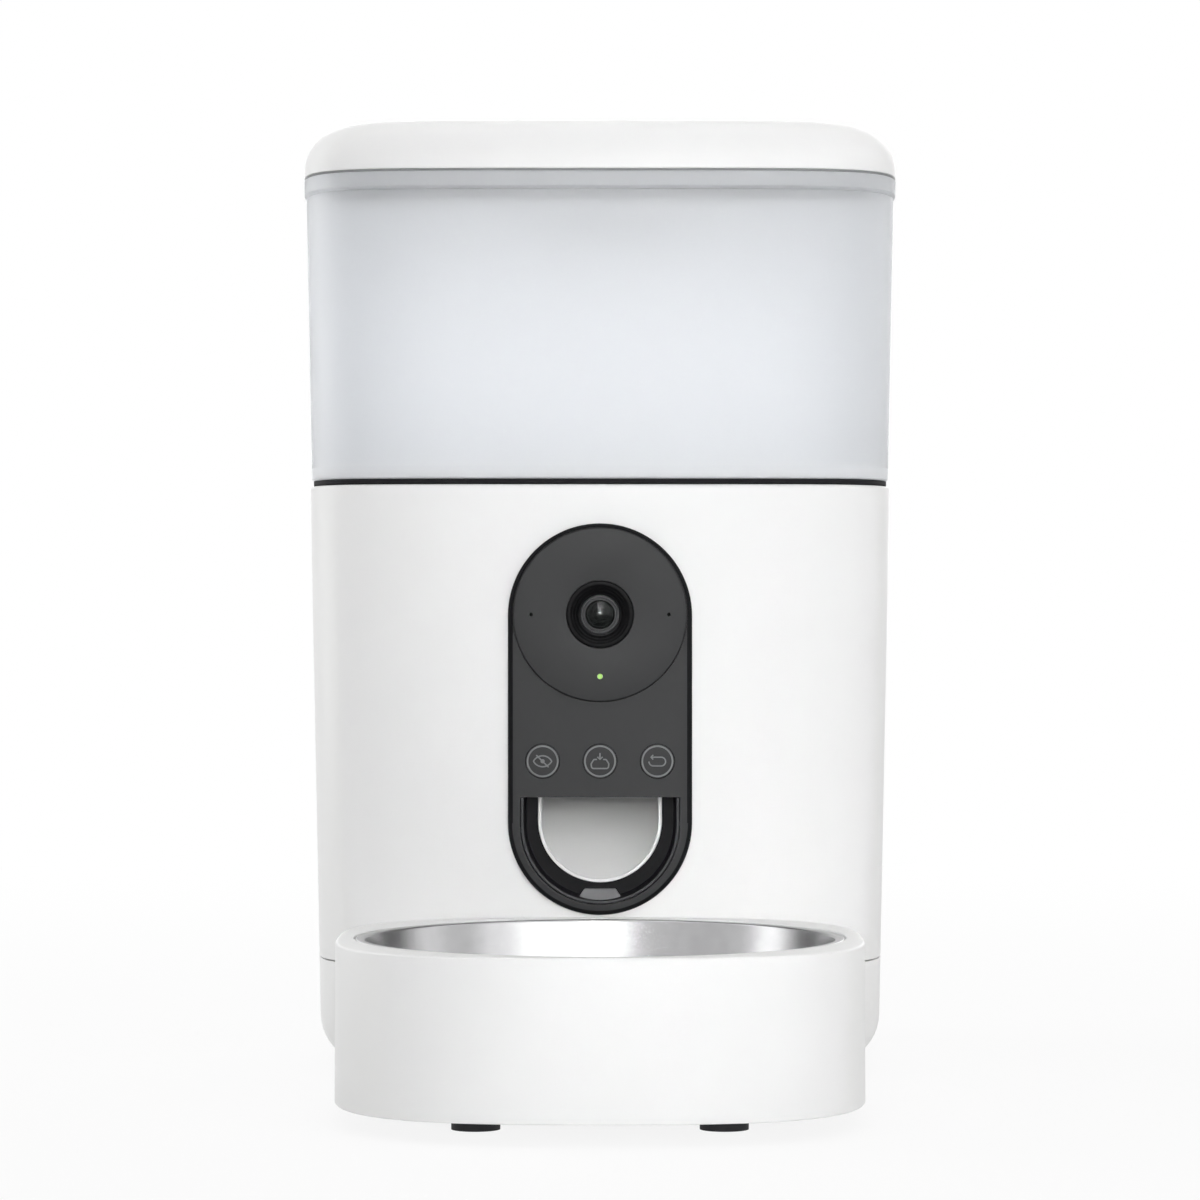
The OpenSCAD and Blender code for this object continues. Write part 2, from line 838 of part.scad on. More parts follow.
// Plan of the gearbox, grown by a wall
module gearbox_plan(grow) {
    translate(shaft_place)
        circle(r = tip_r(output_teeth) + gear_room + grow);
    translate(idler_place)
        circle(r = tip_r(idler_large_teeth) + gear_room + grow);
    translate(pinion_place)
        circle(r = tip_r(pinion_teeth) + gear_room + grow);
}

module gearbox_lugs() {
    for (p = lug_places)
        translate(p)
            circle(r = lug_r);
}

module gearbox_case() {
    color(charcoal)
        difference() {
            translate([0, 0, case_z])
                linear_extrude(case_h)
                    union() {
                        gearbox_plan(case_wall);
                        gearbox_lugs();
                    }
            translate([0, 0, case_z + case_wall])
                linear_extrude(case_h)
                    gearbox_plan(0);
            for (p = lug_places)
                column(p, screw_hole_r, case_z - through, case_top_z + through);
            column(shaft_place, shaft_r + run_clear, case_z - through, case_z + 2 * case_wall);
            column(idler_place, pin_r + run_clear, case_z - through, case_z + 2 * case_wall);
            column(pinion_place, motor_shaft_r + gear_room, case_z - through, case_z + 2 * case_wall);
        }
}

module gearbox_cover() {
    color(charcoal)
        difference() {
            translate([0, 0, case_top_z])
                linear_extrude(case_cover_t)
                    union() {
                        gearbox_plan(case_wall);
                        gearbox_lugs();
                    }
            for (p = lug_places)
                column(p, screw_hole_r, case_top_z - through, cover_top_z + through);
            column(shaft_place, shaft_r + run_clear, case_top_z - through, cover_top_z + through);
            column(idler_place, pin_r + run_clear, case_top_z - through, cover_top_z + through);
        }
}

module gearbox_screws() {
    color(steel)
        for (p = lug_places)
            screw(p, case_z, case_h + case_cover_t + pilot_l - screw_short, true);
}

module idler_pin() {
    color(steel)
        column(idler_place, pin_r, case_z, cover_top_z);
}

module output_gear() {
    color(nylon)
        difference() {
            union() {
                gear(shaft_place, output_teeth, idler_angle, high_gear_z, high_gear_z + gear_t);
                column(shaft_place, bearing_r, high_gear_z, case_top_z - layer_gap / 2);
            }
            column(shaft_place, shaft_r + run_clear, high_gear_z - through, case_top_z);
        }
}

module idler_gear() {
    small_phase = idler_angle + 180 + 180 / idler_small_teeth;
    color(nylon)
        difference() {
            union() {
                gear(idler_place, idler_large_teeth, pinion_angle, low_gear_z, low_gear_z + gear_t);
                gear(
                    idler_place, idler_small_teeth, small_phase,
                    low_gear_z + gear_t - layer_gap, high_gear_z + gear_t
                );
                column(idler_place, pin_r + case_wall, high_gear_z, case_top_z - layer_gap / 2);
            }
            column(idler_place, pin_r + run_clear, low_gear_z - through, case_top_z);
        }
}

module motor_pinion() {
    phase = pinion_angle + 180 + 180 / pinion_teeth;
    color("#c9a551")
        difference() {
            gear(pinion_place, pinion_teeth, phase, low_gear_z, low_gear_z + gear_t);
            column(pinion_place, motor_shaft_r + run_clear, low_gear_z - through, high_gear_z);
        }
}

// Motor under the gearbox
motor_bearing_l = 14;
motor_boss_r = 6;
motor_boss_l = 3;
module motor() {
    end_z = case_z - motor_l;
    color(steel)
        difference() {
            union() {
                column(pinion_place, motor_r, end_z, case_z);
                column(pinion_place, motor_boss_r, end_z - motor_boss_l, end_z + through);
            }
            column(pinion_place, motor_shaft_r + run_clear, case_z - motor_bearing_l, case_z + through);
        }
}

module motor_shaft() {
    color(steel)
        column(pinion_place, motor_shaft_r, case_z - motor_bearing_l + through, low_gear_z + gear_t);
}

// Drive shaft with the rotor and the stirrer
rotor_gap = 1;
rotor_top_z = deck_top_z - shield_t - rotor_gap;
stirrer_hub_h = 8;
stirrer_z = rotor_top_z;
arm_gap = 1.5;
arm_z = deck_top_z + arm_gap;
arm_t = 3;
arm_w = 6;
peg_r = 2.4;
nut_h = 8;
nut_r = 7;
nut_cap = 2;
flute_r = 2;
flute_out = 1;
shaft_top_z = rotor_top_z + stirrer_hub_h + nut_h - nut_cap;

module drive_shaft() {
    color(steel)
        column(shaft_place, shaft_r, case_z, shaft_top_z);
}

module rotor() {
    color("#e9ebec")
        difference() {
            union() {
                column(shaft_place, hub_r, chamber_floor_z + rotor_gap, rotor_top_z);
                for (i = [0:vane_count - 1])
                    vane(i, 0, vane_r, vane_t);
            }
            column(shaft_place, shaft_r + run_clear, chamber_floor_z, deck_top_z);
        }
}

// One vane of the rotor between two radii
module vane(i, from, to, t) {
    translate([shaft_place[0], shaft_place[1], chamber_floor_z + rotor_gap])
        rotate(360 * i / vane_count + 90)
            translate([from, -t / 2, 0])
                cube([to - from, t, rotor_top_z - chamber_floor_z - rotor_gap]);
}

module rotor_tips() {
    color(rubber_grey)
        for (i = [0:vane_count - 1])
            vane(i, vane_r, chamber_r - tip_clear, vane_t / 2);
}

module stirrer() {
    color("#e9ebec")
        difference() {
            union() {
                column(shaft_place, bearing_r, stirrer_z, stirrer_z + stirrer_hub_h);
                block(
                    [-stirrer_r, chamber_y - arm_w / 2, arm_z],
                    [stirrer_r, chamber_y + arm_w / 2, arm_z + arm_t]
                );
                for (i = [-1, 1])
                    column([i * (stirrer_r - arm_w / 2), chamber_y], peg_r, arm_z, arm_z + arm_t + peg_h);
            }
            column(shaft_place, shaft_r + run_clear, stirrer_z - through, stirrer_z + 2 * stirrer_hub_h);
        }
}

module rotor_nut() {
    color("#e9ebec")
        difference() {
            column(shaft_place, nut_r, stirrer_z + stirrer_hub_h, stirrer_z + stirrer_hub_h + nut_h);
            column(shaft_place, shaft_r + run_clear, stirrer_z, shaft_top_z + run_clear);
            for (i = [0:5])
                column(
                    shaft_place + polar(nut_r + flute_out, 60 * i), flute_r,
                    stirrer_z + stirrer_hub_h - through, stirrer_z + stirrer_hub_h + nut_h + through
                );
        }
}

// Boards at the rear wall
board_y = back_y - shell_wall - standoff_h - board_t;
standoff_r = 3;
standoff_in = 5;
standoff_places = [
    for (i = [-1, 1], z = [board_z + standoff_in, board_z + board_h - standoff_in])
        [i * (board_w / 2 - standoff_in), z]
];

module main_board() {
    color(board_green)
        block([-board_w / 2, board_y, board_z], [board_w / 2, board_y + board_t, board_z + board_h]);
}

radio_size = [18, 3, 24];
radio_in = 4;
module radio_module() {
    color(steel)
        block(
            [-radio_size[0] / 2, board_y - radio_size[1], board_z + board_h - radio_size[2] - radio_in],
            [radio_size[0] / 2, board_y, board_z + board_h - radio_in]
        );
}

// Power socket that stands on the board and reaches the rear wall
socket_w = 9.6;
socket_h = 4;
socket_wall = 0.6;
socket_sunk = 0.3;
socket_depth = 6.4;
tongue_w = 6.6;
tongue_t = 0.7;
function slot_outline(half_w, half_h, z) = concat(
    arc(half_w - half_h, z, half_h, -90, 90),
    arc(half_h - half_w, z, half_h, 90, 270)
);

module power_socket() {
    face_y = back_y - socket_sunk;
    color(black)
        union() {
            difference() {
                along_y(board_y + board_t, face_y)
                    polygon(slot_outline(socket_w / 2, socket_h / 2, socket_z));
                along_y(face_y - socket_depth, face_y + through)
                    polygon(slot_outline(socket_w / 2 - socket_wall, socket_h / 2 - socket_wall, socket_z));
            }
            block(
                [-tongue_w / 2, face_y - socket_depth - through, socket_z - tongue_t / 2],
                [tongue_w / 2, face_y - through, socket_z + tongue_t / 2]
            );
        }
}

// Speaker on the rear wall
magnet_in = 7;
magnet_l = 6;
cone_in = 12;
rim_t = 3;
module speaker() {
    back = back_y - shell_wall - glue_gap;
    magnet_r = speaker_r - magnet_in;
    cone_r = speaker_r - cone_in;
    color(black)
        turned_y(0, speaker_z, [
            [0, back - speaker_d],
            [magnet_r, back - speaker_d],
            [magnet_r, back - speaker_d + magnet_l],
            [speaker_r - 1, back - rim_t],
            [speaker_r, back - rim_t],
            [speaker_r, back],
            [speaker_r - rim_t, back],
            [cone_r, back - rim_t],
            [0, back - rim_t]
        ]);
}

// Front panel with its spigot
module face_panel() {
    thick = front_y - panel_face_y;
    bezel_hole_r = recess_r + recess_rim + glue_gap;
    bezel_hole_top_z = recess_top_z + recess_rim + glue_gap;
    key_room_y = panel_face_y + key_plate_t;
    color(black)
        difference() {
            union() {
                translate([0, front_y, 0])
                    rotate([90, 0, 0])
                        skin([
                            panel_ring(0, 0),
                            panel_ring(0, thick - panel_bevel),
                            panel_ring(panel_bevel * (1 - cos(45)), thick - panel_bevel * (1 - cos(45))),
                            panel_ring(panel_bevel, thick)
                        ]);
                along_y(front_y - thick / 2, spigot_back_y)
                    polygon(stadium(panel_r - spigot_step, panel_half, panel_z));
                for (i = [-1, 1])
                    panel_clip(i);
            }
            disc_y(0, camera_z, cover_d / 2 + glue_gap, panel_face_y - through, cover_back_y);
            disc_y(0, camera_z, cover_hole_d / 2, panel_face_y, spigot_back_y + through);
            along_y(panel_face_y - through, spigot_back_y + through)
                polygon(u_outline(bezel_hole_r, recess_centre_z, bezel_hole_top_z));
            for (x = key_places)
                disc_y(x, key_z, key_d / 2 + key_clear, panel_face_y - through, key_room_y + through);
            block(
                [-key_room_w / 2, key_room_y, key_z - key_room_h / 2],
                [key_room_w / 2, spigot_back_y + through, key_z + key_room_h / 2]
            );
        }
}
function panel_ring(inset, z) = [for (p = stadium(panel_r - inset, panel_half, panel_z)) [p[0], p[1], z]];

// Clip on each side of the spigot, behind the wall of the body
clip_h = 16;
clip_out = 1;
module panel_clip(side) {
    edge = side * (panel_r - spigot_step);
    block(
        [min(edge - side, edge + side * clip_out), front_y + shell_wall + glue_gap, panel_z - clip_h / 2],
        [max(edge - side, edge + side * clip_out), spigot_back_y, panel_z + clip_h / 2]
    );
}

// Bezel with the recess round the mouth, and the small tongue under the mouth
bezel_flange = 1.4;
tongue_top = 4.6;
tongue_foot = 7.7;
tongue_back = 1;
tongue_lip = 0.6;
tongue_step = 0.5;
module outlet_bezel() {
    lip_z = recess_centre_z - recess_r;
    sill_z = lip_z - recess_rim / 2;
    tongue_z = mouth_bottom_z - collar_t - glue_gap;
    tongue_y = panel_face_y + tongue_back;
    inside_y = recess_floor_y + bezel_floor_t;
    outer_r = recess_r + recess_rim;
    outer_top_z = recess_top_z + recess_rim;
    color(charcoal)
        union() {
            difference() {
                union() {
                    along_y(panel_face_y - glue_gap, bezel_back_y)
                        polygon(u_outline(outer_r, recess_centre_z, outer_top_z));
                    along_y(spigot_back_y, bezel_back_y)
                        polygon(u_outline(outer_r + bezel_flange, recess_centre_z, outer_top_z));
                }
                along_y(panel_face_y - 2 * through, recess_floor_y)
                    polygon(u_outline(recess_r, recess_centre_z, recess_top_z));
                along_y(recess_floor_y - through, bezel_back_y + through)
                    polygon(u_outline(
                        mouth_r + collar_t + glue_gap, mouth_centre_z, mouth_top_z + collar_t + glue_gap
                    ));
            }
            intersection() {
                along_y(panel_face_y, recess_floor_y + bezel_floor_t / 2)
                    polygon(u_outline(recess_r + recess_rim / 2, recess_centre_z, recess_top_z));
                along_y(panel_face_y, recess_floor_y + bezel_floor_t / 2)
                    polygon([
                        [-tongue_top, tongue_z], [-tongue_foot, sill_z],
                        [tongue_foot, sill_z], [tongue_top, tongue_z]
                    ]);
                along_x(2 * tongue_foot)
                    polygon([
                        [inside_y, tongue_z], [recess_floor_y - tongue_step, tongue_z],
                        [tongue_y, lip_z + tongue_lip], [tongue_y, sill_z], [inside_y, sill_z]
                    ]);
            }
        }
}

// Camera behind its cover
cover_edge = 0.6;
module camera_cover() {
    r = cover_d / 2;
    hole = hood_d / 2 + glue_gap;
    light_hole_r = light_d / 2 + run_clear;
    front = cover_face_y - through;
    back = cover_back_y + through;
    color(charcoal)
        difference() {
            turned_y(0, camera_z, [
                [hole, cover_face_y],
                [r - cover_edge, cover_face_y],
                [r, cover_face_y + cover_edge],
                [r, cover_back_y],
                [hole, cover_back_y]
            ]);
            for (i = [-1, 1])
                disc_y(i * mic_x, camera_z, mic_hole_d / 2, front, back);
            disc_y(0, camera_z - light_drop, light_hole_r, front, back);
        }
}

hood_rim = 1.6;
hood_step = 1;
barrel_proud = 0.6;
hood_mouth_r = hood_d / 2 - hood_rim;
barrel_front_y = cover_back_y - barrel_proud;
module lens_hood() {
    color(black)
        turned_y(0, camera_z, [
            [hood_mouth_r, cover_face_y + glue_gap],
            [hood_d / 2, cover_face_y + glue_gap],
            [hood_d / 2, cover_back_y],
            [barrel_d / 2 + glue_gap, cover_back_y],
            [barrel_d / 2 + glue_gap, cover_back_y - hood_step],
            [hood_mouth_r - hood_step, cover_back_y - hood_rim]
        ]);
}

glass_seat = 1.2;
module lens_barrel() {
    color(black)
        turned_y(0, camera_z, [
            [0, barrel_front_y + glass_seat],
            [glass_d / 2 + glue_gap, barrel_front_y + glass_seat],
            [glass_d / 2 + glue_gap, barrel_front_y],
            [barrel_d / 2, barrel_front_y],
            [barrel_d / 2, barrel_front_y + barrel_l],
            [0, barrel_front_y + barrel_l]
        ]);
}

// Domed front lens
glass_bulge = 1.1;
function glass_profile() = concat(
    [[0, barrel_front_y + glass_seat], [glass_d / 2, barrel_front_y + glass_seat]],
    [
        for (i = [0:8])
            let (t = 1 - i / 8)
                [glass_d / 2 * t, barrel_front_y + glass_seat / 2 - glass_bulge * (1 - t * t)]
    ]
);
module lens_glass() {
    color("#2b3440")
        turned_y(0, camera_z, glass_profile());
}

holder_r = 17;
holder_t = 2;
tube_wall = 2;
chip_room = 1.6;
barrel_clear = 0.1;
tube_back_y = barrel_front_y + barrel_l + chip_room;
lamp_ring = 13.4;
lamp_r = 1.5;
lamp_places = [for (i = [0:3]) polar(lamp_ring, 45 + 90 * i)];
module camera_holder() {
    bore = barrel_d / 2 + barrel_clear;
    back = cover_back_y + holder_t + through;
    color(black)
        difference() {
            turned_y(0, camera_z, [
                [bore, cover_back_y],
                [holder_r, cover_back_y],
                [holder_r, cover_back_y + holder_t],
                [bore + tube_wall, cover_back_y + holder_t],
                [bore + tube_wall, tube_back_y],
                [bore, tube_back_y]
            ]);
            for (p = lamp_places)
                disc_y(p[0], camera_z + p[1], lamp_r + barrel_clear, cover_back_y - through, back);
        }
}

sensor_chip = [8, 1.2, 8];
module image_sensor() {
    color(charcoal)
        translate([0, tube_back_y - sensor_chip[1] / 2, camera_z])
            cube(sensor_chip, center = true);
}

module camera_board() {
    color(board_green)
        translate([0, tube_back_y + board_t / 2, camera_z])
            cube([camera_board_w, board_t, camera_board_w], center = true);
}

module infrared_lamps() {
    color("#3a2430")
        for (p = lamp_places)
            disc_y(p[0], camera_z + p[1], lamp_r, cover_back_y, cover_back_y + holder_t + lamp_tail);
}

mic_r = 1.7;
mic_l = 2.4;
light_tail = 1.5;
lamp_tail = 1;
module microphones() {
    color(steel)
        for (i = [-1, 1])
            disc_y(i * mic_x, camera_z, mic_r, cover_back_y, cover_back_y + mic_l);
}

module status_light() {
    color("#3cc45a")
        disc_y(0, camera_z - light_drop, light_d / 2, cover_face_y, cover_back_y + light_tail);
}

// Three push keys on a switch board
key_plate_t = 2;
key_flange_t = 0.8;
key_flange = 1;
key_proud = 0.1;
key_edge = 0.2;
key_stem_r = 1.5;
key_slack = 0.1;
key_room = 0.9;
key_room_w = 2 * key_pitch + key_d + 2 * key_flange + 2 * key_room;
key_room_h = key_d + 2 * key_flange + 2 * key_room;
board_lap = 0.9;
key_places = [-key_pitch, 0, key_pitch];
switch_size = [6, 0.9, 6];
switch_face_y = spigot_back_y - switch_size[1];

module key_board() {
    color(board_green)
        block(
            [-key_room_w / 2 - board_lap, spigot_back_y, key_z - key_room_h / 2 - board_lap],
            [key_room_w / 2 + board_lap, spigot_back_y + board_t, key_z + key_room_h / 2 + board_lap]
        );
}

module key_switches() {
    color(steel)
        for (x = key_places)
            translate([x, spigot_back_y - switch_size[1] / 2, key_z])
                cube(switch_size, center = true);
}

module key(x) {
    front = panel_face_y - key_proud;
    flange_y = panel_face_y + key_plate_t + key_slack;
    stem_y = switch_face_y - key_travel - key_slack;
    color(charcoal)
        turned_y(x, key_z, [
            [0, front],
            [key_d / 2 - key_edge, front],
            [key_d / 2, front + key_edge],
            [key_d / 2, flange_y],
            [key_d / 2 + key_flange, flange_y],
            [key_d / 2 + key_flange, flange_y + key_flange_t],
            [key_stem_r, flange_y + key_flange_t],
            [key_stem_r, stem_y],
            [0, stem_y]
        ]);
}

module privacy_key() {
    key(key_places[0]);
}

module feed_key() {
    key(key_places[1]);
}

module replay_key() {
    key(key_places[2]);
}

// Hopper tank and its funnel
module hopper_tank() {
    band_z = lid_z - band_h;
    color(frosted)
        difference() {
            union() {
                loft([
                    tower(hopper_z, tank_inset), tower(band_z - band_proud, tank_inset),
                    tower(band_z, 0), tower(lid_z, 0)
                ]);
                loft([tower(body_top_z - skirt_depth, skirt_inset), tower(shoulder_z, skirt_inset)]);
            }
            loft([
                tower(body_top_z - skirt_depth - through, skirt_inner_inset),
                tower(shoulder_z + through, skirt_inner_inset)
            ]);
            loft([tower(shoulder_z, tank_inner_inset), tower(lid_z + through, tank_inner_inset)]);
        }
}

spout_ease = 0.5;
spout_r = chamber_r + funnel_wall + spout_ease;
function round_section(z, r) = [z, 2 * r, 2 * r, 2, chamber_y];
module hopper_funnel() {
    cone_z = deck_top_z + spout_h;
    cone_top_z = cone_z + cone_h;
    flange_inset = tank_inner_inset + glue_gap;
    color("#dfe4e8")
        difference() {
            union() {
                loft([
                    round_section(deck_top_z, spout_r), round_section(cone_z, spout_r),
                    tower(cone_top_z, funnel_inset), tower(shoulder_z + funnel_flange, funnel_inset)
                ]);
                loft([tower(shoulder_z, flange_inset), tower(shoulder_z + funnel_flange, flange_inset)]);
            }
            loft([
                round_section(deck_top_z - through, spout_r - funnel_wall),
                round_section(cone_z + funnel_wall / 2, spout_r - funnel_wall),
                tower(cone_top_z + funnel_wall / 2, funnel_inset + funnel_wall),
                tower(shoulder_z + funnel_flange + through, funnel_inset + funnel_wall)
            ]);
        }
}

// Lid with its plug, seal and desiccant cup
function lid_section(z, inset) = [z, body_w - 2 * inset, body_d - 2 * inset, corner_power, body_y];
function lid_fillet_sections(radius, inset, z) = [
    for (i = [0:fillet_steps])
        let (a = 90 * i / fillet_steps)
            lid_section(z - radius * (1 - sin(a)), inset + radius * (1 - cos(a)))
];
lid_top_z = lid_z + lid_h;
plug_z = lid_z - plug_depth;
plug_floor_z = plug_z + plug_wall;

module lid_cover() {
    inside_z = lid_top_z - lid_wall;
    color(white)
        union() {
            difference() {
                loft(concat([lid_section(lid_z, 0)], lid_fillet_sections(lid_fillet, 0, lid_top_z)));
                loft(concat(
                    [lid_section(lid_z - through, lid_wall)],
                    lid_fillet_sections(lid_fillet - lid_wall, lid_wall, inside_z)
                ));
            }
            difference() {
                for (p = lid_screw_places)
                    column(p, boss_r, plug_floor_z, inside_z + lid_wall / 2);
                for (p = lid_screw_places)
                    column(p, screw_hole_r, plug_floor_z - through, plug_floor_z + pilot_l);
            }
        }
}

module lid_liner() {
    color(white)
        difference() {
            loft([tower(plug_z, plug_inset), tower(lid_z + plug_wall, plug_inset)]);
            loft([
                tower(plug_floor_z, plug_inset + plug_wall),
                tower(lid_z + plug_wall + through, plug_inset + plug_wall)
            ]);
            column([0, body_y], cup_r, plug_z - through, plug_floor_z + through);
            for (p = lid_screw_places)
                column(p, screw_hole_r, plug_z - through, plug_floor_z + through);
        }
}

module lid_screws() {
    color(steel)
        for (p = lid_screw_places)
            screw(p, plug_z, plug_wall + pilot_l - screw_short, true);
}

module lid_seal() {
    seal_z = lid_z - plug_depth / 2 - seal_h / 2;
    inner = plug_inset - run_clear;
    outer = tank_inner_inset + deck_clear;
    color(rubber_grey)
        difference() {
            loft([tower(seal_z, outer), tower(seal_z + seal_h, outer)]);
            loft([tower(seal_z - through, inner), tower(seal_z + seal_h + through, inner)]);
        }
}

module desiccant_cup() {
    color(white)
        difference() {
            column([0, body_y], cup_r + plug_wall, plug_floor_z, plug_floor_z + cup_h);
            column([0, body_y], cup_r, plug_floor_z - through, plug_floor_z + cup_h - plug_wall);
        }
}

// Twist cap with vent slots and a finger bar
cap_t = 3;
cap_rim = 3;
cap_gap = 0.3;
cap_spigot_h = 5;
cap_slot_w = 2.4;
cap_slot_ring = 12;
cap_bar_in = 6;
cap_bar_t = 4;
cap_bar_h = 5;
module desiccant_cap() {
    top = plug_z - cap_gap;
    spigot_r = cup_r - cap_gap;
    color(white)
        difference() {
            union() {
                column([0, body_y], cup_r + cap_rim, top - cap_t, top);
                difference() {
                    column([0, body_y], spigot_r, top - through, top + cap_spigot_h);
                    column([0, body_y], spigot_r - plug_wall, top, top + cap_spigot_h + through);
                }
                block(
                    [cap_bar_in - cup_r, body_y - cap_bar_t / 2, top - cap_t - cap_bar_h],
                    [cup_r - cap_bar_in, body_y + cap_bar_t / 2, top - cap_t + through]
                );
            }
            for (i = [-1, 1], j = [-2:2])
                translate([j * 2 * cap_slot_w, body_y + i * cap_slot_ring, top])
                    cube([cap_slot_w, cap_slot_ring, 4 * cap_t], center = true);
        }
}

// Tray that hooks onto the base, and its bowl
function tray_section(z, inset) =
    let (flare = tray_flare * (tray_rim_z - z) / (tray_rim_z - tray_lift))
        [z, tray_w + 2 * flare - 2 * inset, tray_l - 2 * inset, tray_power, tray_y];
bowl_rim_r = bowl_rim_d / 2;
rim_clear = 0.5;
bowl_r = bowl_rim_r - bowl_rim_w;
ledge_z = tray_rim_z - bowl_t - glue_gap;
well_floor_z = tray_lift + tray_wall;
well_r = bowl_r + bowl_t + rim_clear;

module bowl_tray() {
    color(white)
        difference() {
            union() {
                difference() {
                    loft([
                        tray_section(tray_lift, tray_edge / 2),
                        tray_section(tray_lift + tray_edge / 2, 0),
                        tray_section(tray_rim_z - tray_edge, 0),
                        tray_section(tray_rim_z - tray_edge * (1 - cos(45)), tray_edge * (1 - cos(45))),
                        tray_section(tray_rim_z, tray_edge)
                    ]);
                    difference() {
                        loft([
                            tray_section(tray_lift - through, tray_wall),
                            tray_section(tray_rim_z - 2 * tray_wall, tray_wall)
                        ]);
                        column([0, tray_y], well_r + tray_wall, tray_lift, tray_rim_z);
                    }
                }
                for (i = [-1, 1])
                    tray_hook(i * hook_x);
            }
            column([0, tray_y], well_r, well_floor_z, tray_rim_z + through);
            column([0, tray_y], bowl_rim_r + rim_clear, ledge_z, tray_rim_z + through);
        }
}

// Hook from the rear wall of the tray into the base
module tray_hook(x) {
    block(
        [x - hook_w / 2, front_y - tray_gap - tray_wall - hook_root, hook_z],
        [x + hook_w / 2, front_y + hook_reach, hook_z + hook_t]
    );
}

module tray_feet() {
    color(rubber_grey)
        for (i = [0:3])
            column([0, tray_y] + polar(tray_foot_ring, 45 + 90 * i), tray_foot_r, 0, tray_lift);
}

// Pressed bowl: flat rim, leaning wall, rounded floor
bowl_top_z = ledge_z + bowl_t;
bowl_floor_z = bowl_top_z - bowl_depth;
function bowl_line(out) =
    let (
        foot_r = bowl_r - bowl_lean - bowl_round,
        lean = atan2(bowl_lean, bowl_depth - bowl_round)
    )
        concat(
            [[bowl_r + out, bowl_top_z - out]],
            [
                for (i = [0:8])
                    let (a = -lean - (90 - lean) * i / 8)
                        [
                            foot_r + (bowl_round + out) * cos(a),
                            bowl_floor_z + bowl_round + (bowl_round + out) * sin(a)
                        ]
            ],
            [[0, bowl_floor_z - out]]
        );
module steel_bowl() {
    inner = bowl_line(0);
    outer = bowl_line(bowl_t);
    rim = [[bowl_rim_r, ledge_z], [bowl_rim_r, bowl_top_z]];
    color(steel)
        translate([0, tray_y, 0])
            rotate_extrude($fn = 96)
                polygon(concat([for (i = [len(outer) - 1:-1:0]) outer[i]], rim, inner));
}

base_shell();
base_feet();
base_screws();
body_shell();
deck();
deck_screws();
outlet_shield();
chute();
drop_sensors();
gearbox_case();
gearbox_cover();
gearbox_screws();
idler_pin();
motor();
main_board();
radio_module();
power_socket();
speaker();
face_panel();
outlet_bezel();
camera_cover();
lens_hood();
lens_barrel();
lens_glass();
camera_holder();
image_sensor();
camera_board();
infrared_lamps();
microphones();
status_light();
key_board();
key_switches();
privacy_key();
feed_key();
replay_key();
rotor();
rotor_tips();
stirrer();
rotor_nut();
drive_shaft();
output_gear();
idler_gear();
motor_pinion();
motor_shaft();
hopper_tank();
hopper_funnel();
lid_cover();
lid_liner();
lid_seal();
lid_screws();
desiccant_cup();
desiccant_cap();
bowl_tray();
tray_feet();
steel_bowl();
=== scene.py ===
"""Pet feeder with camera: the looks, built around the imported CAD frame.

Sizes are millimetres, as in the CAD source, and become metres where a mesh is made.
+Z is up, the front faces -Y, and the floor is z = 0.
"""

import json
import math

import bmesh
import bpy
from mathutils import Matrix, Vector


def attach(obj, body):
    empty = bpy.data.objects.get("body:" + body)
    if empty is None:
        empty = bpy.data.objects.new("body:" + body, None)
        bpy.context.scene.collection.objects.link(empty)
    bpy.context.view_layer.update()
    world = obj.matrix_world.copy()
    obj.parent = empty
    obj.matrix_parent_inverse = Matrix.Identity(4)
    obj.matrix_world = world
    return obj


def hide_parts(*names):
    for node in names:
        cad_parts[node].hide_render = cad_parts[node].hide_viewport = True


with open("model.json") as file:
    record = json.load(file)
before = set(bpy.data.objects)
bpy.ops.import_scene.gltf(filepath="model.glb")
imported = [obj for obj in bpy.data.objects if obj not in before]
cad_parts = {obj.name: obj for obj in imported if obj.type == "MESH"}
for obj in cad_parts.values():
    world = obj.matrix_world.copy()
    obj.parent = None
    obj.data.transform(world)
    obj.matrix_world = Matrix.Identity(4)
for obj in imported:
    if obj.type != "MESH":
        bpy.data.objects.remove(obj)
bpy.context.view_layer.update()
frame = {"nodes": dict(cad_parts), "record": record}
nodes = frame["nodes"]

MM = 0.001
RING_COUNT = 240
ROUND_COUNT = 128
SHARP_ANGLE = math.radians(32)
# How far a cutter or an added piece reaches past the surface that it meets
OVERLAP = 1.0
# A point further in, that only gives the end of a rounded line its direction
INWARD = 5.0

# Tower
BODY_W = 190.0
BODY_D = 176.0
BODY_Y = 76.5
SIDE_DRAFT = math.radians(1.13)
CORNER_POWER = 6.0
FRONT_Y = BODY_Y - BODY_D / 2
BACK_Y = BODY_Y + BODY_D / 2
FOOT_H = 2.5
BASE_TOP_Z = 37.0
BASE_FILLET = 16.0
# Where a flat cap begins, and the rings that part it, as shares of its size
FLAT_FROM = 8.0
FLAT_RINGS = (0.75, 0.4, 0.06)
SHELL_Z = 37.4
BODY_TOP_Z = 186.5
DECK_Z = 150.0
SHELL_WALL = 2.5
SEAM_EDGE = 0.25
WALL_CUT = 5.0
VENT_EDGE = 0.4
LIP_INSET = 2.75
LIP_T = 1.5
LIP_ROOT_Z = 33.0
LIP_TOP_Z = 40.4
BOSS_R = 5.0
BOSS_X = 60.0
BOSS_Y = 52.0
RIB_T = 2.4
SCREW_HOLE_R = 1.4
HEAD_HOLE_R = 3.1
SCREW_SINK = 6.0
PILOT_L = 12.0
RIB_Z = 40.8
FOOT_R = 9.2
FOOT_X = 40.0
FOOT_Y = 54.0
FOOT_SEAT = 1.0
STANDOFF_R = 3.0
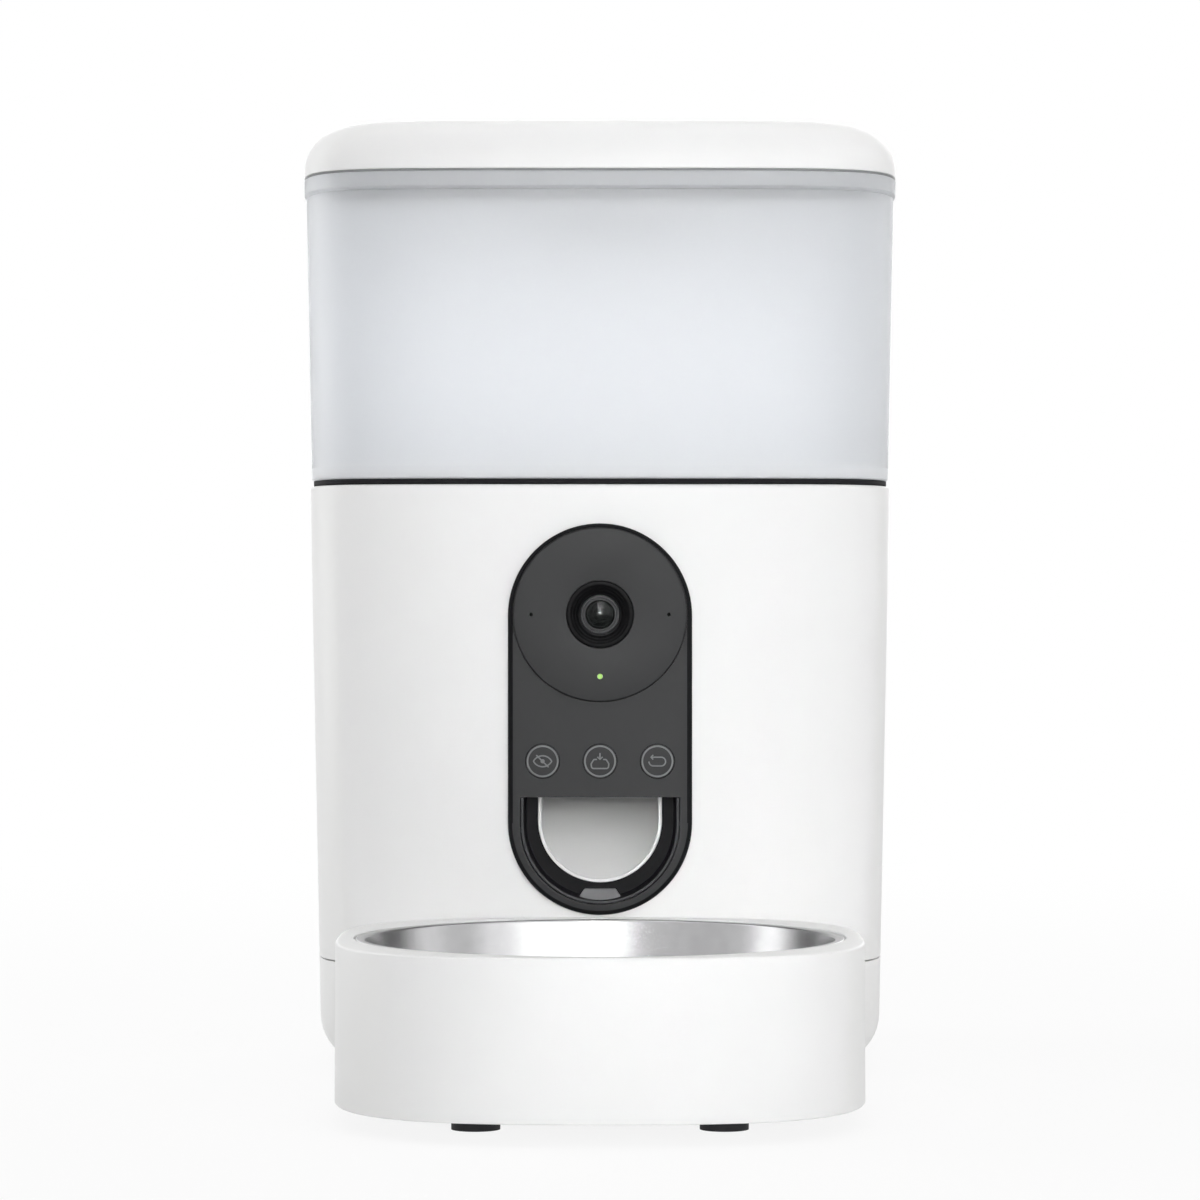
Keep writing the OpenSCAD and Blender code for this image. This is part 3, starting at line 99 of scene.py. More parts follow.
STANDOFF_X = 33.0
STANDOFF_Z = (47.0, 93.0)
STANDOFF_Y = 156.0
SPEAKER_Z = 124.0
GRILLE_R = 14.0
GRILLE_W = 2.2
GRILLE_PITCH = 5.2
SOCKET_Z = 52.0
SOCKET_HALF_W = 5.0
SOCKET_HALF_H = 2.2

# Hopper and lid
HOPPER_Z = 188.3
LID_Z = 284.0
LID_TOP_Z = 301.0
LID_FILLET = 14.0
LID_WALL = 2.5
LID_GAP_H = 0.8
LID_GAP_D = 1.3
# Inset of the grey strip that paints shade in the lid's gap
LID_SHADE_INSET = 0.5
BAND_H = 4.6
BAND_PROUD = 0.6
BAND_GROOVE = 0.45
GROOVE_LOW = 1.2
GROOVE_HIGH = 0.8
TANK_WALL = 2.2
SHOULDER_Z = 190.3
SKIRT_Z = 176.5
SKIRT_INSET = 2.9
SEAL_INSET = 1.1
SEAL_LIFT = 0.1
TRIM_GAP = 0.05
CHAMBER_Y = 70.0
SPOUT_R = 54.5
SPOUT_Z = 153.0
CONE_Z = 158.0
CONE_TOP_Z = 180.0
FUNNEL_INSET = 5.3
FUNNEL_WALL = 2.0
FLANGE_INSET = 3.0
PLUG_FLOOR_Z = 274.0
LID_SCREW_X = 60.0
LID_SCREW_Y = 54.0

# Front panel
PANEL_R = 28.6
PANEL_HALF = 32.2
PANEL_Z = 113.5
PANEL_FACE_Y = -14.0
FACE_DEPTH = 0.01
SPIGOT_STEP = 1.6
PANEL_HOLE_R = 27.25
SPIGOT_BACK_Y = -8.0
CAMERA_Z = 146.0
COVER_R = 27.0
COVER_FACE_Y = -15.2
COVER_BACK_Y = -12.0
COVER_HOLE_R = 24.0
HOOD_R = 10.3
# Steps of the hood's cone and the barrel's groove: in from the edge, back from the front
HOOD_STEPS = ((0.0, 0.0), (1.1, 0.0), (1.7, 0.5), (1.9, 0.5), (2.6, 1.2), (2.8, 1.2))
HOOD_FOOT = 3.6
HOOD_FLOOR = 1.0
BARREL_R = 6.0
BARREL_STEPS = ((0.0, 0.0), (0.6, 0.0), (0.7, 0.2), (0.9, 0.2), (1.0, 0.0))
BARREL_FRONT_Y = -12.6
# Depth of the barrel's front faces that take a painted highlight
RING_HIGHLIGHT_DEPTH = 0.25
GLASS_R = 4.4
MIC_X = 21.4
MIC_HOLE_R = 0.6
LIGHT_DROP = 19.2
LIGHT_R = 0.8
LIGHT_CLEAR = 0.06
KEY_R = 5.2
KEY_Z = 100.5
KEY_PITCH = 17.8
KEY_CLEAR = 0.08
KEY_PROUD = 0.1
KEY_FACE_Y = PANEL_FACE_Y - KEY_PROUD
KEY_ROOM_Y = -12.0
KEY_FLANGE_Y = -11.9
KEY_STEM_Y = -9.6
KEY_STEM_R = 1.5
KEY_CORE_R = 0.3
KEY_FLANGE = 1.0
KEY_FLANGE_T = 0.8
KEY_SIDE_ROOM = 2.0
KEY_CHAMFER = 0.15
GLUE_GAP = 0.2
PANEL_EDGE = 1.6
BARREL_L = 12.6
GLASS_SEAT = 1.2
GLASS_BULGE = 1.1
GLASS_BACK_Y = BARREL_FRONT_Y + GLASS_SEAT
IRIS_STEP_R = 3.9
IRIS_R = 2.2
BORE_R = 1.0
ELEMENT_Y = GLASS_BACK_Y + 3.4
ELEMENT_R = IRIS_R - 0.02
ELEMENT_EDGE_Y = ELEMENT_Y + 0.5
ELEMENT_BACK_Y = ELEMENT_Y + 1.2
ELEMENT_BULGE = 0.8
GLASS_STEPS = 17
ELEMENT_STEPS = 10

# Signs on the keys
SIGN_LINE = 0.45
SIGN_PROUD = 0.05
SIGN_RING_R = 4.7
SIGN_RING_LINE = 0.6

# Outlet
MOUTH_R = 18.25
MOUTH_TOP_Z = 89.0
MOUTH_BOTTOM_Z = 63.5
MOUTH_CENTRE_Z = MOUTH_BOTTOM_Z + MOUTH_R
COLLAR_T = 0.9
RECESS_R = 23.65
RECESS_RIM = 1.0
RECESS_TOP_Z = MOUTH_TOP_Z + 2 * COLLAR_T
RECESS_CENTRE_Z = MOUTH_CENTRE_Z - COLLAR_T
RECESS_FLOOR_Y = -7.0
RECESS_CORNER = 1.2
RECESS_LEAN = 0.5
# Depth of the rim's front faces that take a painted highlight
RIM_HIGHLIGHT_DEPTH = 0.2
# The rim's rounding: in from its edge, back from its front
RIM_STEPS = ((0.0, 0.35), (0.1, 0.1), (0.35, 0.0), (0.65, 0.0), (0.9, 0.1))
BEZEL_BACK_Y = -5.0
TONGUE_TOP = 4.7
TONGUE_FOOT = 7.8
TONGUE_HIGH_Z = 60.6
TONGUE_LOW_Z = 56.4
LIP_LOW_Z = 89.3
LIP_BACK_Y = -9.0

# Tray and bowl
TRAY_W = 153.5
TRAY_L = 152.0
TRAY_Y = -88.5
TRAY_POWER = 3.0
TRAY_FLARE = 0.2
TRAY_LIFT = 6.0
TRAY_RIM_Z = 52.0
TRAY_WALL = 2.5
TRAY_EDGE = 0.7
BOWL_RIM_R = 71.5
BOWL_R = 68.9
BOWL_T = 0.8
BOWL_TOP_Z = 51.8
BOWL_FLOOR_Z = 13.8
BOWL_ROUND = 14.0
BOWL_LEAN = 5.0
BOWL_ROOM = 0.5
WELL_R = BOWL_R + BOWL_T + BOWL_ROOM
WELL_FLOOR_Z = 8.5
WELL_CORE_R = 2.0
HOOK_X = 30.0
HOOK_W = 16.0
HOOK_Z = 26.0
HOOK_T = 4.0
HOOK_CLEAR = 0.5
HOOK_REACH = 5.0
HOOK_ROOT = 4.5
HOOK_ROOM = 7.5

# Studio, in metres
VIEW_PLACE = (0.0, -1.3455, 0.1505)
VIEW_LENS = 128.8
FLOOR_SHADE = (0.86, 0.86, 0.86)
FLOOR_GLOW = 0.88
FLOOR_NEAR = 0.1
FLOOR_FAR = 1.1
FLOOR_REACH = 9.0
FILL_LEVEL = 0.08
# Name, place, aim, size, watts and beam in degrees
LAMPS = (
    ("front_box", (0.30, -1.45, 0.53), (0.0, -0.05, 0.15), (1.5, 0.9), 7.3, 180),
    ("strip_box", (0.026, -1.45, 0.32), (0.026, 0.0, 0.14), (0.2, 0.75), 0.158, 14),
    ("low_box", (0.024, -1.1, 0.72), (0.024, -0.01, 0.06), (0.08, 0.08), 0.0053, 7),
    ("right_box", (0.75, -0.75, 0.45), (0.0, 0.0, 0.15), (0.7, 0.9), 1.6, 180),
    ("left_rim", (-0.9, 0.3, 0.4), (0.0, 0.05, 0.15), (0.8, 1.1), 5.2, 180),
    ("right_rim", (0.9, 0.3, 0.4), (0.0, 0.05, 0.15), (0.8, 1.1), 1.7, 180),
    ("top_box", (0.0, 0.0, 1.4), (0.0, 0.05, 0.15), (1.7, 1.7), 9.5, 180),
    ("back_box", (0.1, 1.6, 0.6), (0.0, 0.15, 0.15), (1.2, 0.9), 8.0, 180),
)


# Outlines and profiles
def arc(centre, radius, start, end, steps):
    """Points of a circular arc, with angles in degrees."""
    angles = [math.radians(start + (end - start) * i / steps) for i in range(steps + 1)]
    return [(centre[0] + radius * math.cos(a), centre[1] + radius * math.sin(a)) for a in angles]


def rounded(points, radii, closed=True, steps=6):
    """A polyline with an arc in place of each corner that has a radius."""
    count = len(points)
    result = []
    for i, (point, radius) in enumerate(zip(points, radii)):
        at_end = not closed and i in (0, count - 1)
        if radius == 0 or at_end:
            result.append(point)
            continue
        corner = Vector(point)
        back = (Vector(points[i - 1]) - corner).normalized()
        ahead = (Vector(points[(i + 1) % count]) - corner).normalized()
        half = back.angle(ahead) / 2
        middle = corner + (back + ahead).normalized() * (radius / math.sin(half))
        start = corner + back * (radius / math.tan(half)) - middle
        end = corner + ahead * (radius / math.tan(half)) - middle
        sweep = start.angle_signed(end)
        for j in range(steps + 1):
            a = -sweep * j / steps
            turned = Vector((
                start.x * math.cos(a) - start.y * math.sin(a),
                start.x * math.sin(a) + start.y * math.cos(a),
            ))
            result.append(tuple(middle + turned))
    return result


def stadium(radius, half, z, steps=48):
    """Upright stadium in x and z."""
    return arc((0, z + half), radius, 0, 180, steps) + arc((0, z - half), radius, 180, 360, steps)


def u_outline(radius, centre_z, top_z, corner=0.0, steps=64):
    """Flat-topped outline with a round lower end, in x and z."""
    top = rounded(
        [(radius, centre_z), (radius, top_z), (-radius, top_z), (-radius, centre_z)],
        [0, corner, corner, 0], closed=False,
    )
    return top + arc((0, centre_z), radius, 180, 360, steps)[1:-1]


def slot_outline(half_w, half_h, z, x=0.0, steps=16):
    """Level slot with round ends, in x and z."""
    right = arc((x + half_w - half_h, z), half_h, -90, 90, steps)
    return right + arc((x + half_h - half_w, z), half_h, 90, 270, steps)


def superellipse(width, depth, power):
    """Points of a squircle, close together at its corners."""
    points = []
    for i in range(RING_COUNT):
        a = 2 * math.pi * i / RING_COUNT
        c, s = math.cos(a), math.sin(a)
        x = width / 2 * math.copysign(abs(c) ** (2 / power), c)
        y = depth / 2 * math.copysign(abs(s) ** (2 / power), s)
        points.append((x, y))
    return points


def width_at(z):
    return BODY_W - 2 * (LID_Z - z) * math.tan(SIDE_DRAFT)


def tower(inset, z):
    """Ring of the tower at a height, inset by a wall."""
    outline = superellipse(width_at(z) - 2 * inset, BODY_D - 2 * inset, CORNER_POWER)
    return [(x, BODY_Y + y, z) for x, y in outline]


def lid_ring(inset, z):
    """Ring of the lid, whose sides are upright."""
    outline = superellipse(BODY_W - 2 * inset, BODY_D - 2 * inset, CORNER_POWER)
    return [(x, BODY_Y + y, z) for x, y in outline]


def tray_ring(inset, z):
    """Ring of the tray's outside, which flares a little towards the floor."""
    flare = TRAY_FLARE * (TRAY_RIM_Z - z) / (TRAY_RIM_Z - TRAY_LIFT)
    outline = superellipse(TRAY_W + 2 * (flare - inset), TRAY_L - 2 * inset, TRAY_POWER)
    return [(x, TRAY_Y + y, z) for x, y in outline]


def tray_circle(radius, z):
    """Round ring in the tray, in line with the points of its outside."""
    angles = [math.atan2(y, x) for x, y in superellipse(TRAY_W, TRAY_L, TRAY_POWER)]
    return [(radius * math.cos(a), TRAY_Y + radius * math.sin(a), z) for a in angles]


def shrunk(ring, factors):
    """Copies of a level ring, drawn in towards its middle."""
    middle_x = sum(p[0] for p in ring) / len(ring)
    middle_y = sum(p[1] for p in ring) / len(ring)
    return [
        [(middle_x + (x - middle_x) * f, middle_y + (y - middle_y) * f, z) for x, y, z in ring]
        for f in factors
    ]


# Meshes
def mesh_object(name, points, faces):
    """Object from points in millimetres, with its faces turned outward."""
    mesh = bpy.data.meshes.new(name)
    mesh.from_pydata([(x * MM, y * MM, z * MM) for x, y, z in points], [], faces)
    made = bmesh.new()
    made.from_mesh(mesh)
    bmesh.ops.recalc_face_normals(made, faces=made.faces)
    made.to_mesh(mesh)
    made.free()
    obj = bpy.data.objects.new(name, mesh)
    bpy.context.scene.collection.objects.link(obj)
    return obj


def skin(name, rings, loop=False):
    """Closed skin over rings with equal numbers of points: a loop, or capped at both ends."""
    count = len(rings[0])
    points = [p for ring in rings for p in ring]
    pairs = list(zip(range(len(rings) - 1), range(1, len(rings))))
    if loop:
        pairs.append((len(rings) - 1, 0))
    faces = []
    for low, high in pairs:
        for j in range(count):
            k = (j + 1) % count
            faces.append((low * count + j, low * count + k, high * count + k, high * count + j))
    if not loop:
        faces.append(tuple(range(count)))
        faces.append(tuple(range(len(points) - count, len(points))))
    return mesh_object(name, points, faces)


def prism_y(name, outline, low, high):
    """Outline in x and z, drawn out along the depth."""
    return skin(name, [[(x, y, z) for x, z in outline] for y in (low, high)])


def prism_z(name, outline, low, high):
    """Outline in x and y, drawn out upward."""
    return skin(name, [[(x, y, z) for x, y in outline] for z in (low, high)])


def column(name, x, y, radius, low, high):
    return prism_z(name, arc((x, y), radius, 0, 360, ROUND_COUNT // 2)[:-1], low, high)


def rod_y(name, x, z, radius, low, high):
    return prism_y(name, arc((x, z), radius, 0, 360, ROUND_COUNT // 2)[:-1], low, high)


def block(name, low, high):
    outline = [(low[0], low[1]), (high[0], low[1]), (high[0], high[1]), (low[0], high[1])]
    return prism_z(name, outline, low[2], high[2])


def turned(profile, place, on_axis):
    """Revolved profile of radius and position along an axis; on_axis turns those into a point."""
    rings = []
    for radius, along in profile:
        rings.append([
            on_axis(place, radius * math.cos(a), radius * math.sin(a), along)
            for a in (2 * math.pi * i / ROUND_COUNT for i in range(ROUND_COUNT))
        ])
    return rings


def turned_y(name, profile, x, z, loop):
    """Piece revolved about an axis along the depth."""
    rings = turned(profile, (x, z), lambda p, u, v, along: (p[0] + u, along, p[1] + v))
    return skin(name, rings, loop)


def turned_z(name, profile, x, y, loop):
    """Piece revolved about an upright axis."""
    rings = turned(profile, (x, y), lambda p, u, v, along: (p[0] + u, p[1] + v, along))
    return skin(name, rings, loop)


def joined(name, parts):
    """One object from several."""
    made = bmesh.new()
    for part in parts:
        made.from_mesh(part.data)
        bpy.data.objects.remove(part)
    mesh = bpy.data.meshes.new(name)
    made.to_mesh(mesh)
    made.free()
    obj = bpy.data.objects.new(name, mesh)
    bpy.context.scene.collection.objects.link(obj)
    return obj


def applied(obj):
    """The object with its modifiers worked into its mesh."""
    depsgraph = bpy.context.evaluated_depsgraph_get()
    mesh = bpy.data.meshes.new_from_object(obj.evaluated_get(depsgraph))
    obj.modifiers.clear()
    obj.data = mesh
    return obj


def combined(obj, parts, operation):
    """The object with other pieces cut out of it or added to it."""
    tool = joined("tool", parts)
    modifier = obj.modifiers.new("combine", "BOOLEAN")
    modifier.operation = operation
    modifier.solver = "EXACT"
    modifier.use_self = operation == "UNION"
    modifier.object = tool
    applied(obj)
    bpy.data.objects.remove(tool)
    return obj


def cut(obj, parts):
    return combined(obj, parts, "DIFFERENCE")


def added(obj, parts):
    return combined(obj, parts, "UNION")


def softened(obj, width, segments=3, angle=40):
    """The object with its sharp edges rounded off."""
    modifier = obj.modifiers.new("edges", "BEVEL")
    modifier.width = width * MM
    modifier.segments = segments
    modifier.limit_method = "ANGLE"
    modifier.angle_limit = math.radians(angle)
    modifier.use_clamp_overlap = True
    return applied(obj)


def shade_smooth(obj):
    mesh = obj.data
    mesh.polygons.foreach_set("use_smooth", [True] * len(mesh.polygons))
    mesh.set_sharp_from_angle(angle=SHARP_ANGLE)


stood_for = set()


def piece(obj, body, slot, stands_for=()):
    """Puts a finished piece on its body, with the finish of its slot."""
    shade_smooth(obj)
    obj.data.materials.clear()
    obj.data.materials.append(finishes[slot])
    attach(obj, body)
    if stands_for:
        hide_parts(*stands_for)
        stood_for.update(stands_for)
    return obj


def painted(obj, material):
    """A finished piece with a shade of its own in place of its slot's."""
    obj.data.materials.clear()
    obj.data.materials.append(material)
    return obj


def repainted(obj, material, chosen):
    """A finished piece with a second shade on the faces that a test chooses."""
    obj.data.materials.append(material)
    for face in obj.data.polygons:
        if chosen(face):
            face.material_index = 1


def in_front(y, tilt=0.5):
    """Test for faces in front of a depth in millimetres that look forward."""
    return lambda face: face.center.y < y * MM and face.normal.y < -tilt


# Finishes
NOISE_LOW = 0.3
NOISE_HIGH = 0.7


def new_material(name):
    """Material with its node tree and its main shader."""
    material = bpy.data.materials.new(name)
    material.use_nodes = True
    tree = material.node_tree
    return material, tree, tree.nodes["Principled BSDF"]


def add_node(tree, kind, **values):
    """Node of a kind, with named sockets and properties set."""
    node = tree.nodes.new(kind)
    for key, value in values.items():
        if key in node.inputs:
            node.inputs[key].default_value = value
        else:
            setattr(node, key, value)
    return node


def noise(tree, scale, detail=2.0, stretch=(1.0, 1.0, 1.0)):
    """Noise in the object's own space; the scale counts features per metre."""
    place = add_node(tree, "ShaderNodeTexCoord")
    mapping = add_node(tree, "ShaderNodeMapping", Scale=stretch)
    texture = add_node(tree, "ShaderNodeTexNoise", Scale=scale, Detail=detail)
    tree.links.new(place.outputs["Object"], mapping.inputs["Vector"])
    tree.links.new(mapping.outputs["Vector"], texture.inputs["Vector"])
    return texture.outputs["Fac"]


def spread(tree, value, low, high, start=NOISE_LOW, end=NOISE_HIGH, course="LINEAR"):
    """A value taken to a range, from the one where most of a noise lies or from another."""
    node = add_node(tree, "ShaderNodeMapRange", interpolation_type=course)
    node.inputs["From Min"].default_value = start
    node.inputs["From Max"].default_value = end
    node.inputs["To Min"].default_value = low
    node.inputs["To Max"].default_value = high
    tree.links.new(value, node.inputs["Value"])
    return node.outputs["Result"]


def mottle(tree, shader, colour, amount, scale):
    """Faint unevenness of a colour."""
    mix = add_node(tree, "ShaderNodeMix", data_type="RGBA")
    darker = [c * (1 - amount) for c in colour]
    mix.inputs["A"].default_value = (*darker, 1)
    mix.inputs["B"].default_value = (*colour, 1)
    tree.links.new(spread(tree, noise(tree, scale), 0.0, 1.0), mix.inputs["Factor"])
    tree.links.new(mix.outputs["Result"], shader.inputs["Base Color"])


def grain(tree, shader, scale, depth, stretch=(1.0, 1.0, 1.0)):
    """Fine relief of a moulded or cut surface; the depth is in millimetres."""
    bump = add_node(tree, "ShaderNodeBump", Distance=depth * MM)
    bump.inputs["Strength"].default_value = 1.0
    tree.links.new(noise(tree, scale, detail=3.0, stretch=stretch), bump.inputs["Height"])
    tree.links.new(bump.outputs["Normal"], shader.inputs["Normal"])


def moulded(name, colour, roughness, grain_depth=0.006, grain_scale=2600.0, uneven=0.02, sheen=0.5):
    """Moulded plastic or rubber with a fine spark-eroded grain."""
    material, tree, shader = new_material(name)
    mottle(tree, shader, colour, uneven, scale=45.0)
    vary = 2 * uneven
    rough = spread(tree, noise(tree, scale=160.0), roughness * (1 - vary), roughness * (1 + vary))
    tree.links.new(rough, shader.inputs["Roughness"])
    grain(tree, shader, grain_scale, grain_depth)
    shader.inputs["Specular IOR Level"].default_value = sheen
    return material


def frosted(name, colour, through):
    """Translucent hopper plastic: light passes and scatters, and nothing shows sharply."""
    material, tree, shader = new_material(name)
    mottle(tree, shader, colour, amount=0.02, scale=30.0)
    rough = spread(tree, noise(tree, scale=120.0), 0.48, 0.56)
    tree.links.new(rough, shader.inputs["Roughness"])
    shader.inputs["Transmission Weight"].default_value = through
    shader.inputs["IOR"].default_value = 1.49
    grain(tree, shader, scale=2200.0, depth=0.006)
    return material


def metal(name, colour, roughness, brush=(1.0, 1.0, 1.0), depth=0.004, anisotropy=0.0):
    """Metal with fine tool marks along one direction."""
    material, tree, shader = new_material(name)
    mottle(tree, shader, colour, amount=0.05, scale=220.0)
    rough = spread(tree, noise(tree, scale=400.0, stretch=brush), roughness * 0.9, roughness * 1.1)
    tree.links.new(rough, shader.inputs["Roughness"])
    grain(tree, shader, scale=1800.0, depth=depth, stretch=brush)
    shader.inputs["Metallic"].default_value = 1.0
    shader.inputs["Anisotropic"].default_value = anisotropy
    return material


def optic(name, colour, roughness, cover, bend, coat=0.0, coat_tint=(1.0, 1.0, 1.0)):
    """Optical glass with a faintly uneven polish; the cover is how much it hides what lies behind."""
    material, tree, shader = new_material(name)
    mottle(tree, shader, colour, amount=0.04, scale=300.0)
    rough = spread(tree, noise(tree, scale=500.0), roughness * 0.6, roughness * 1.4)
    tree.links.new(rough, shader.inputs["Roughness"])
    shader.inputs["Alpha"].default_value = cover
    shader.inputs["IOR"].default_value = bend
    shader.inputs["Coat Weight"].default_value = coat
    shader.inputs["Coat Roughness"].default_value = 0.03
    shader.inputs["Coat Tint"].default_value = (*coat_tint, 1)
    return material


def lit(name, colour, strength):
    """Small indicator that glows."""
    material, tree, shader = new_material(name)
    mottle(tree, shader, colour, amount=0.15, scale=900.0)
    rough = spread(tree, noise(tree, scale=700.0), 0.2, 0.3)
    tree.links.new(rough, shader.inputs["Roughness"])
    shader.inputs["Emission Color"].default_value = (*colour, 1)
    shader.inputs["Emission Strength"].default_value = strength
    return material


def board(name):
    """Circuit board under green lacquer, with copper tracks as a faint relief."""
    material, tree, shader = new_material(name)
    tracks = add_node(tree, "ShaderNodeTexBrick", Scale=240.0)
    tracks.inputs["Color1"].default_value = (0.012, 0.085, 0.04, 1)
    tracks.inputs["Color2"].default_value = (0.016, 0.1, 0.05, 1)
    tracks.inputs["Mortar"].default_value = (0.05, 0.2, 0.1, 1)
    tracks.inputs["Mortar Size"].default_value = 0.03
    place = add_node(tree, "ShaderNodeTexCoord")
    turn = add_node(tree, "ShaderNodeMapping", Rotation=(math.pi / 2, 0, 0))
    tree.links.new(place.outputs["Object"], turn.inputs["Vector"])
    tree.links.new(turn.outputs["Vector"], tracks.inputs["Vector"])
    tree.links.new(tracks.outputs["Color"], shader.inputs["Base Color"])
    rough = spread(tree, noise(tree, scale=500.0), 0.25, 0.4)
    tree.links.new(rough, shader.inputs["Roughness"])
    bump = add_node(tree, "ShaderNodeBump", Distance=0.02 * MM)
    tree.links.new(tracks.outputs["Fac"], bump.inputs["Height"])
    tree.links.new(bump.outputs["Normal"], shader.inputs["Normal"])
    return material


TANK_TINT = (0.93, 0.945, 0.965)
FACE_GREY = (0.027, 0.0275, 0.0285)
# Finish of each slot; for a moulded one: colour, roughness, then depth and scale of its grain
finishes = {
    "white_shell": moulded("white_shell", (0.87, 0.87, 0.865), 0.42, 0.004, uneven=0.012, sheen=0.35),
    "white_inner": moulded("white_inner", (0.80, 0.80, 0.79), 0.45),
    "chute_white": moulded("chute_white", (0.79, 0.79, 0.785), 0.4),
    "frosted_tank": frosted("frosted_tank", TANK_TINT, 0.7),
    "frosted_funnel": frosted("frosted_funnel", (0.94, 0.95, 0.96), 0.08),
    "panel_black": moulded("panel_black", (0.007, 0.007, 0.008), 0.42, 0.002, sheen=0.06),
    "camera_grey": moulded("camera_grey", FACE_GREY, 0.42, 0.004, 3200.0, sheen=0.16),
    "bezel_grey": moulded("bezel_grey", (0.008, 0.008, 0.009), 0.4, 0.003, sheen=0.06),
    "key_grey": moulded("key_grey", FACE_GREY, 0.42, 0.004, 3200.0, sheen=0.16),
    "lens_black": moulded("lens_black", (0.004, 0.004, 0.0045), 0.28, 0.001, sheen=0.03),
    "lens_glass": optic("lens_glass", (0.003, 0.006, 0.005), 0.06, 0.35, 1.35),
    "status_green": lit("status_green", (0.26, 0.52, 0.06), 0.35),
    "inner_black": moulded("inner_black", (0.006, 0.006, 0.0065), 0.5, sheen=0.05),
    "gearbox_grey": moulded("gearbox_grey", (0.22, 0.23, 0.24), 0.5),
    "gear_nylon": moulded("gear_nylon", (0.72, 0.68, 0.58), 0.42, 0.003),
    "brass": metal("brass", (0.72, 0.50, 0.22), 0.3),
    "steel_parts": metal("steel_parts", (0.60, 0.61, 0.62), 0.3),
    "bowl_steel": metal("bowl_steel", (0.42, 0.42, 0.425), 0.24, (1.0, 1.0, 14.0), 0.001, 0.35),
    "circuit_board": board("circuit_board"),
    "rubber": moulded("rubber", (0.035, 0.036, 0.038), 0.7, 0.012, 1500.0, sheen=0.3),
}
# Shades of single pieces or faces, apart from their slot's
print_grey = moulded("print_grey", (0.17, 0.174, 0.178), 0.5, 0.002, sheen=0.3)
tongue_grey = moulded("tongue_grey", (0.24, 0.242, 0.246), 0.4, 0.003, sheen=0.35)
# Lighter grey on the bezel rim's front faces: a painted highlight along the rim
rim_highlight_grey = moulded("rim_highlight_grey", (0.045, 0.046, 0.048), 0.4, 0.003, sheen=0.2)
# Lighter grey on the lens barrel's front ring: a painted highlight of its lit front
ring_highlight_grey = moulded("ring_highlight_grey", (0.05, 0.051, 0.053), 0.4, 0.002, sheen=0.15)
frosted_foot = frosted("frosted_foot", TANK_TINT, 0.3)
# Grey strip in the lid's shadow gap: painted shade of the gap line
gap_shade_grey = moulded("gap_shade_grey", (0.3, 0.303, 0.308), 0.7, sheen=0.15)
seal_black = moulded("seal_black", (0.012, 0.012, 0.013), 0.75, 0.012, 1500.0, sheen=0.15)
coated_element = optic("coated_element", (0.006, 0.012, 0.01), 0.1, 1.0, 1.6, 0.7, (0.85, 0.95, 0.9))


# Tower
corner_places = [(i * BOSS_X, BODY_Y + j * BOSS_Y) for i in (-1, 1) for j in (-1, 1)]


def make_base():
    floor_z = FOOT_H + SHELL_WALL
    lip_in = LIP_INSET + LIP_T
    flat = BASE_FILLET + FLAT_FROM
    profile = rounded(
        [
            (flat, floor_z), (SHELL_WALL, floor_z), (SHELL_WALL, LIP_ROOT_Z), (lip_in, LIP_ROOT_Z),
            (lip_in, LIP_TOP_Z), (LIP_INSET, LIP_TOP_Z), (LIP_INSET, BASE_TOP_Z), (0, BASE_TOP_Z),
            (0, FOOT_H), (flat, FOOT_H),
        ],
        [0, BASE_FILLET - SHELL_WALL, 0, 0.3, 0.3, 0.3, 0, SEAM_EDGE, BASE_FILLET, 0],
        closed=False, steps=12,
    )
    rings = [tower(inset, z) for inset, z in profile]
    base = skin("tower_base", shrunk(rings[0], FLAT_RINGS[::-1]) + rings + shrunk(rings[-1], FLAT_RINGS))
    added(base, [column("boss", x, y, BOSS_R, FOOT_H + OVERLAP, SHELL_Z) for x, y in corner_places])
    holes = []
    for x, y in corner_places:
        steps = [
            (HEAD_HOLE_R, FOOT_H - OVERLAP), (HEAD_HOLE_R, FOOT_H + SCREW_SINK),
            (SCREW_HOLE_R, FOOT_H + SCREW_SINK), (SCREW_HOLE_R, SHELL_Z + OVERLAP),
        ]
        holes.append(turned_z("hole", steps, x, y, False))
    for i in (-1, 1):
        for j in (-1, 1):
            x, y = i * FOOT_X, BODY_Y + j * FOOT_Y
            holes.append(column("seat", x, y, FOOT_R, FOOT_H - OVERLAP, FOOT_H + FOOT_SEAT))
        low = (i * HOOK_X - HOOK_W / 2 - HOOK_CLEAR, FRONT_Y - OVERLAP, HOOK_Z - HOOK_CLEAR)
        high = (i * HOOK_X + HOOK_W / 2 + HOOK_CLEAR, FRONT_Y + HOOK_ROOM, HOOK_Z + HOOK_T + HOOK_CLEAR)
        holes.append(block("hook_slot", low, high))
    cut(base, holes)
    piece(base, "feeder", "white_shell", ["base_shell"])


def back_cutter(name, outline):
    """Cutter through the back wall, with a chamfer at the surface; the outline takes its growth there."""
    steps = [(0, -WALL_CUT), (0, -VENT_EDGE), (VENT_EDGE, 0), (VENT_EDGE + OVERLAP, OVERLAP)]
    return skin(name, [[(x, BACK_Y + y, z) for x, z in outline(grow)] for grow, y in steps])


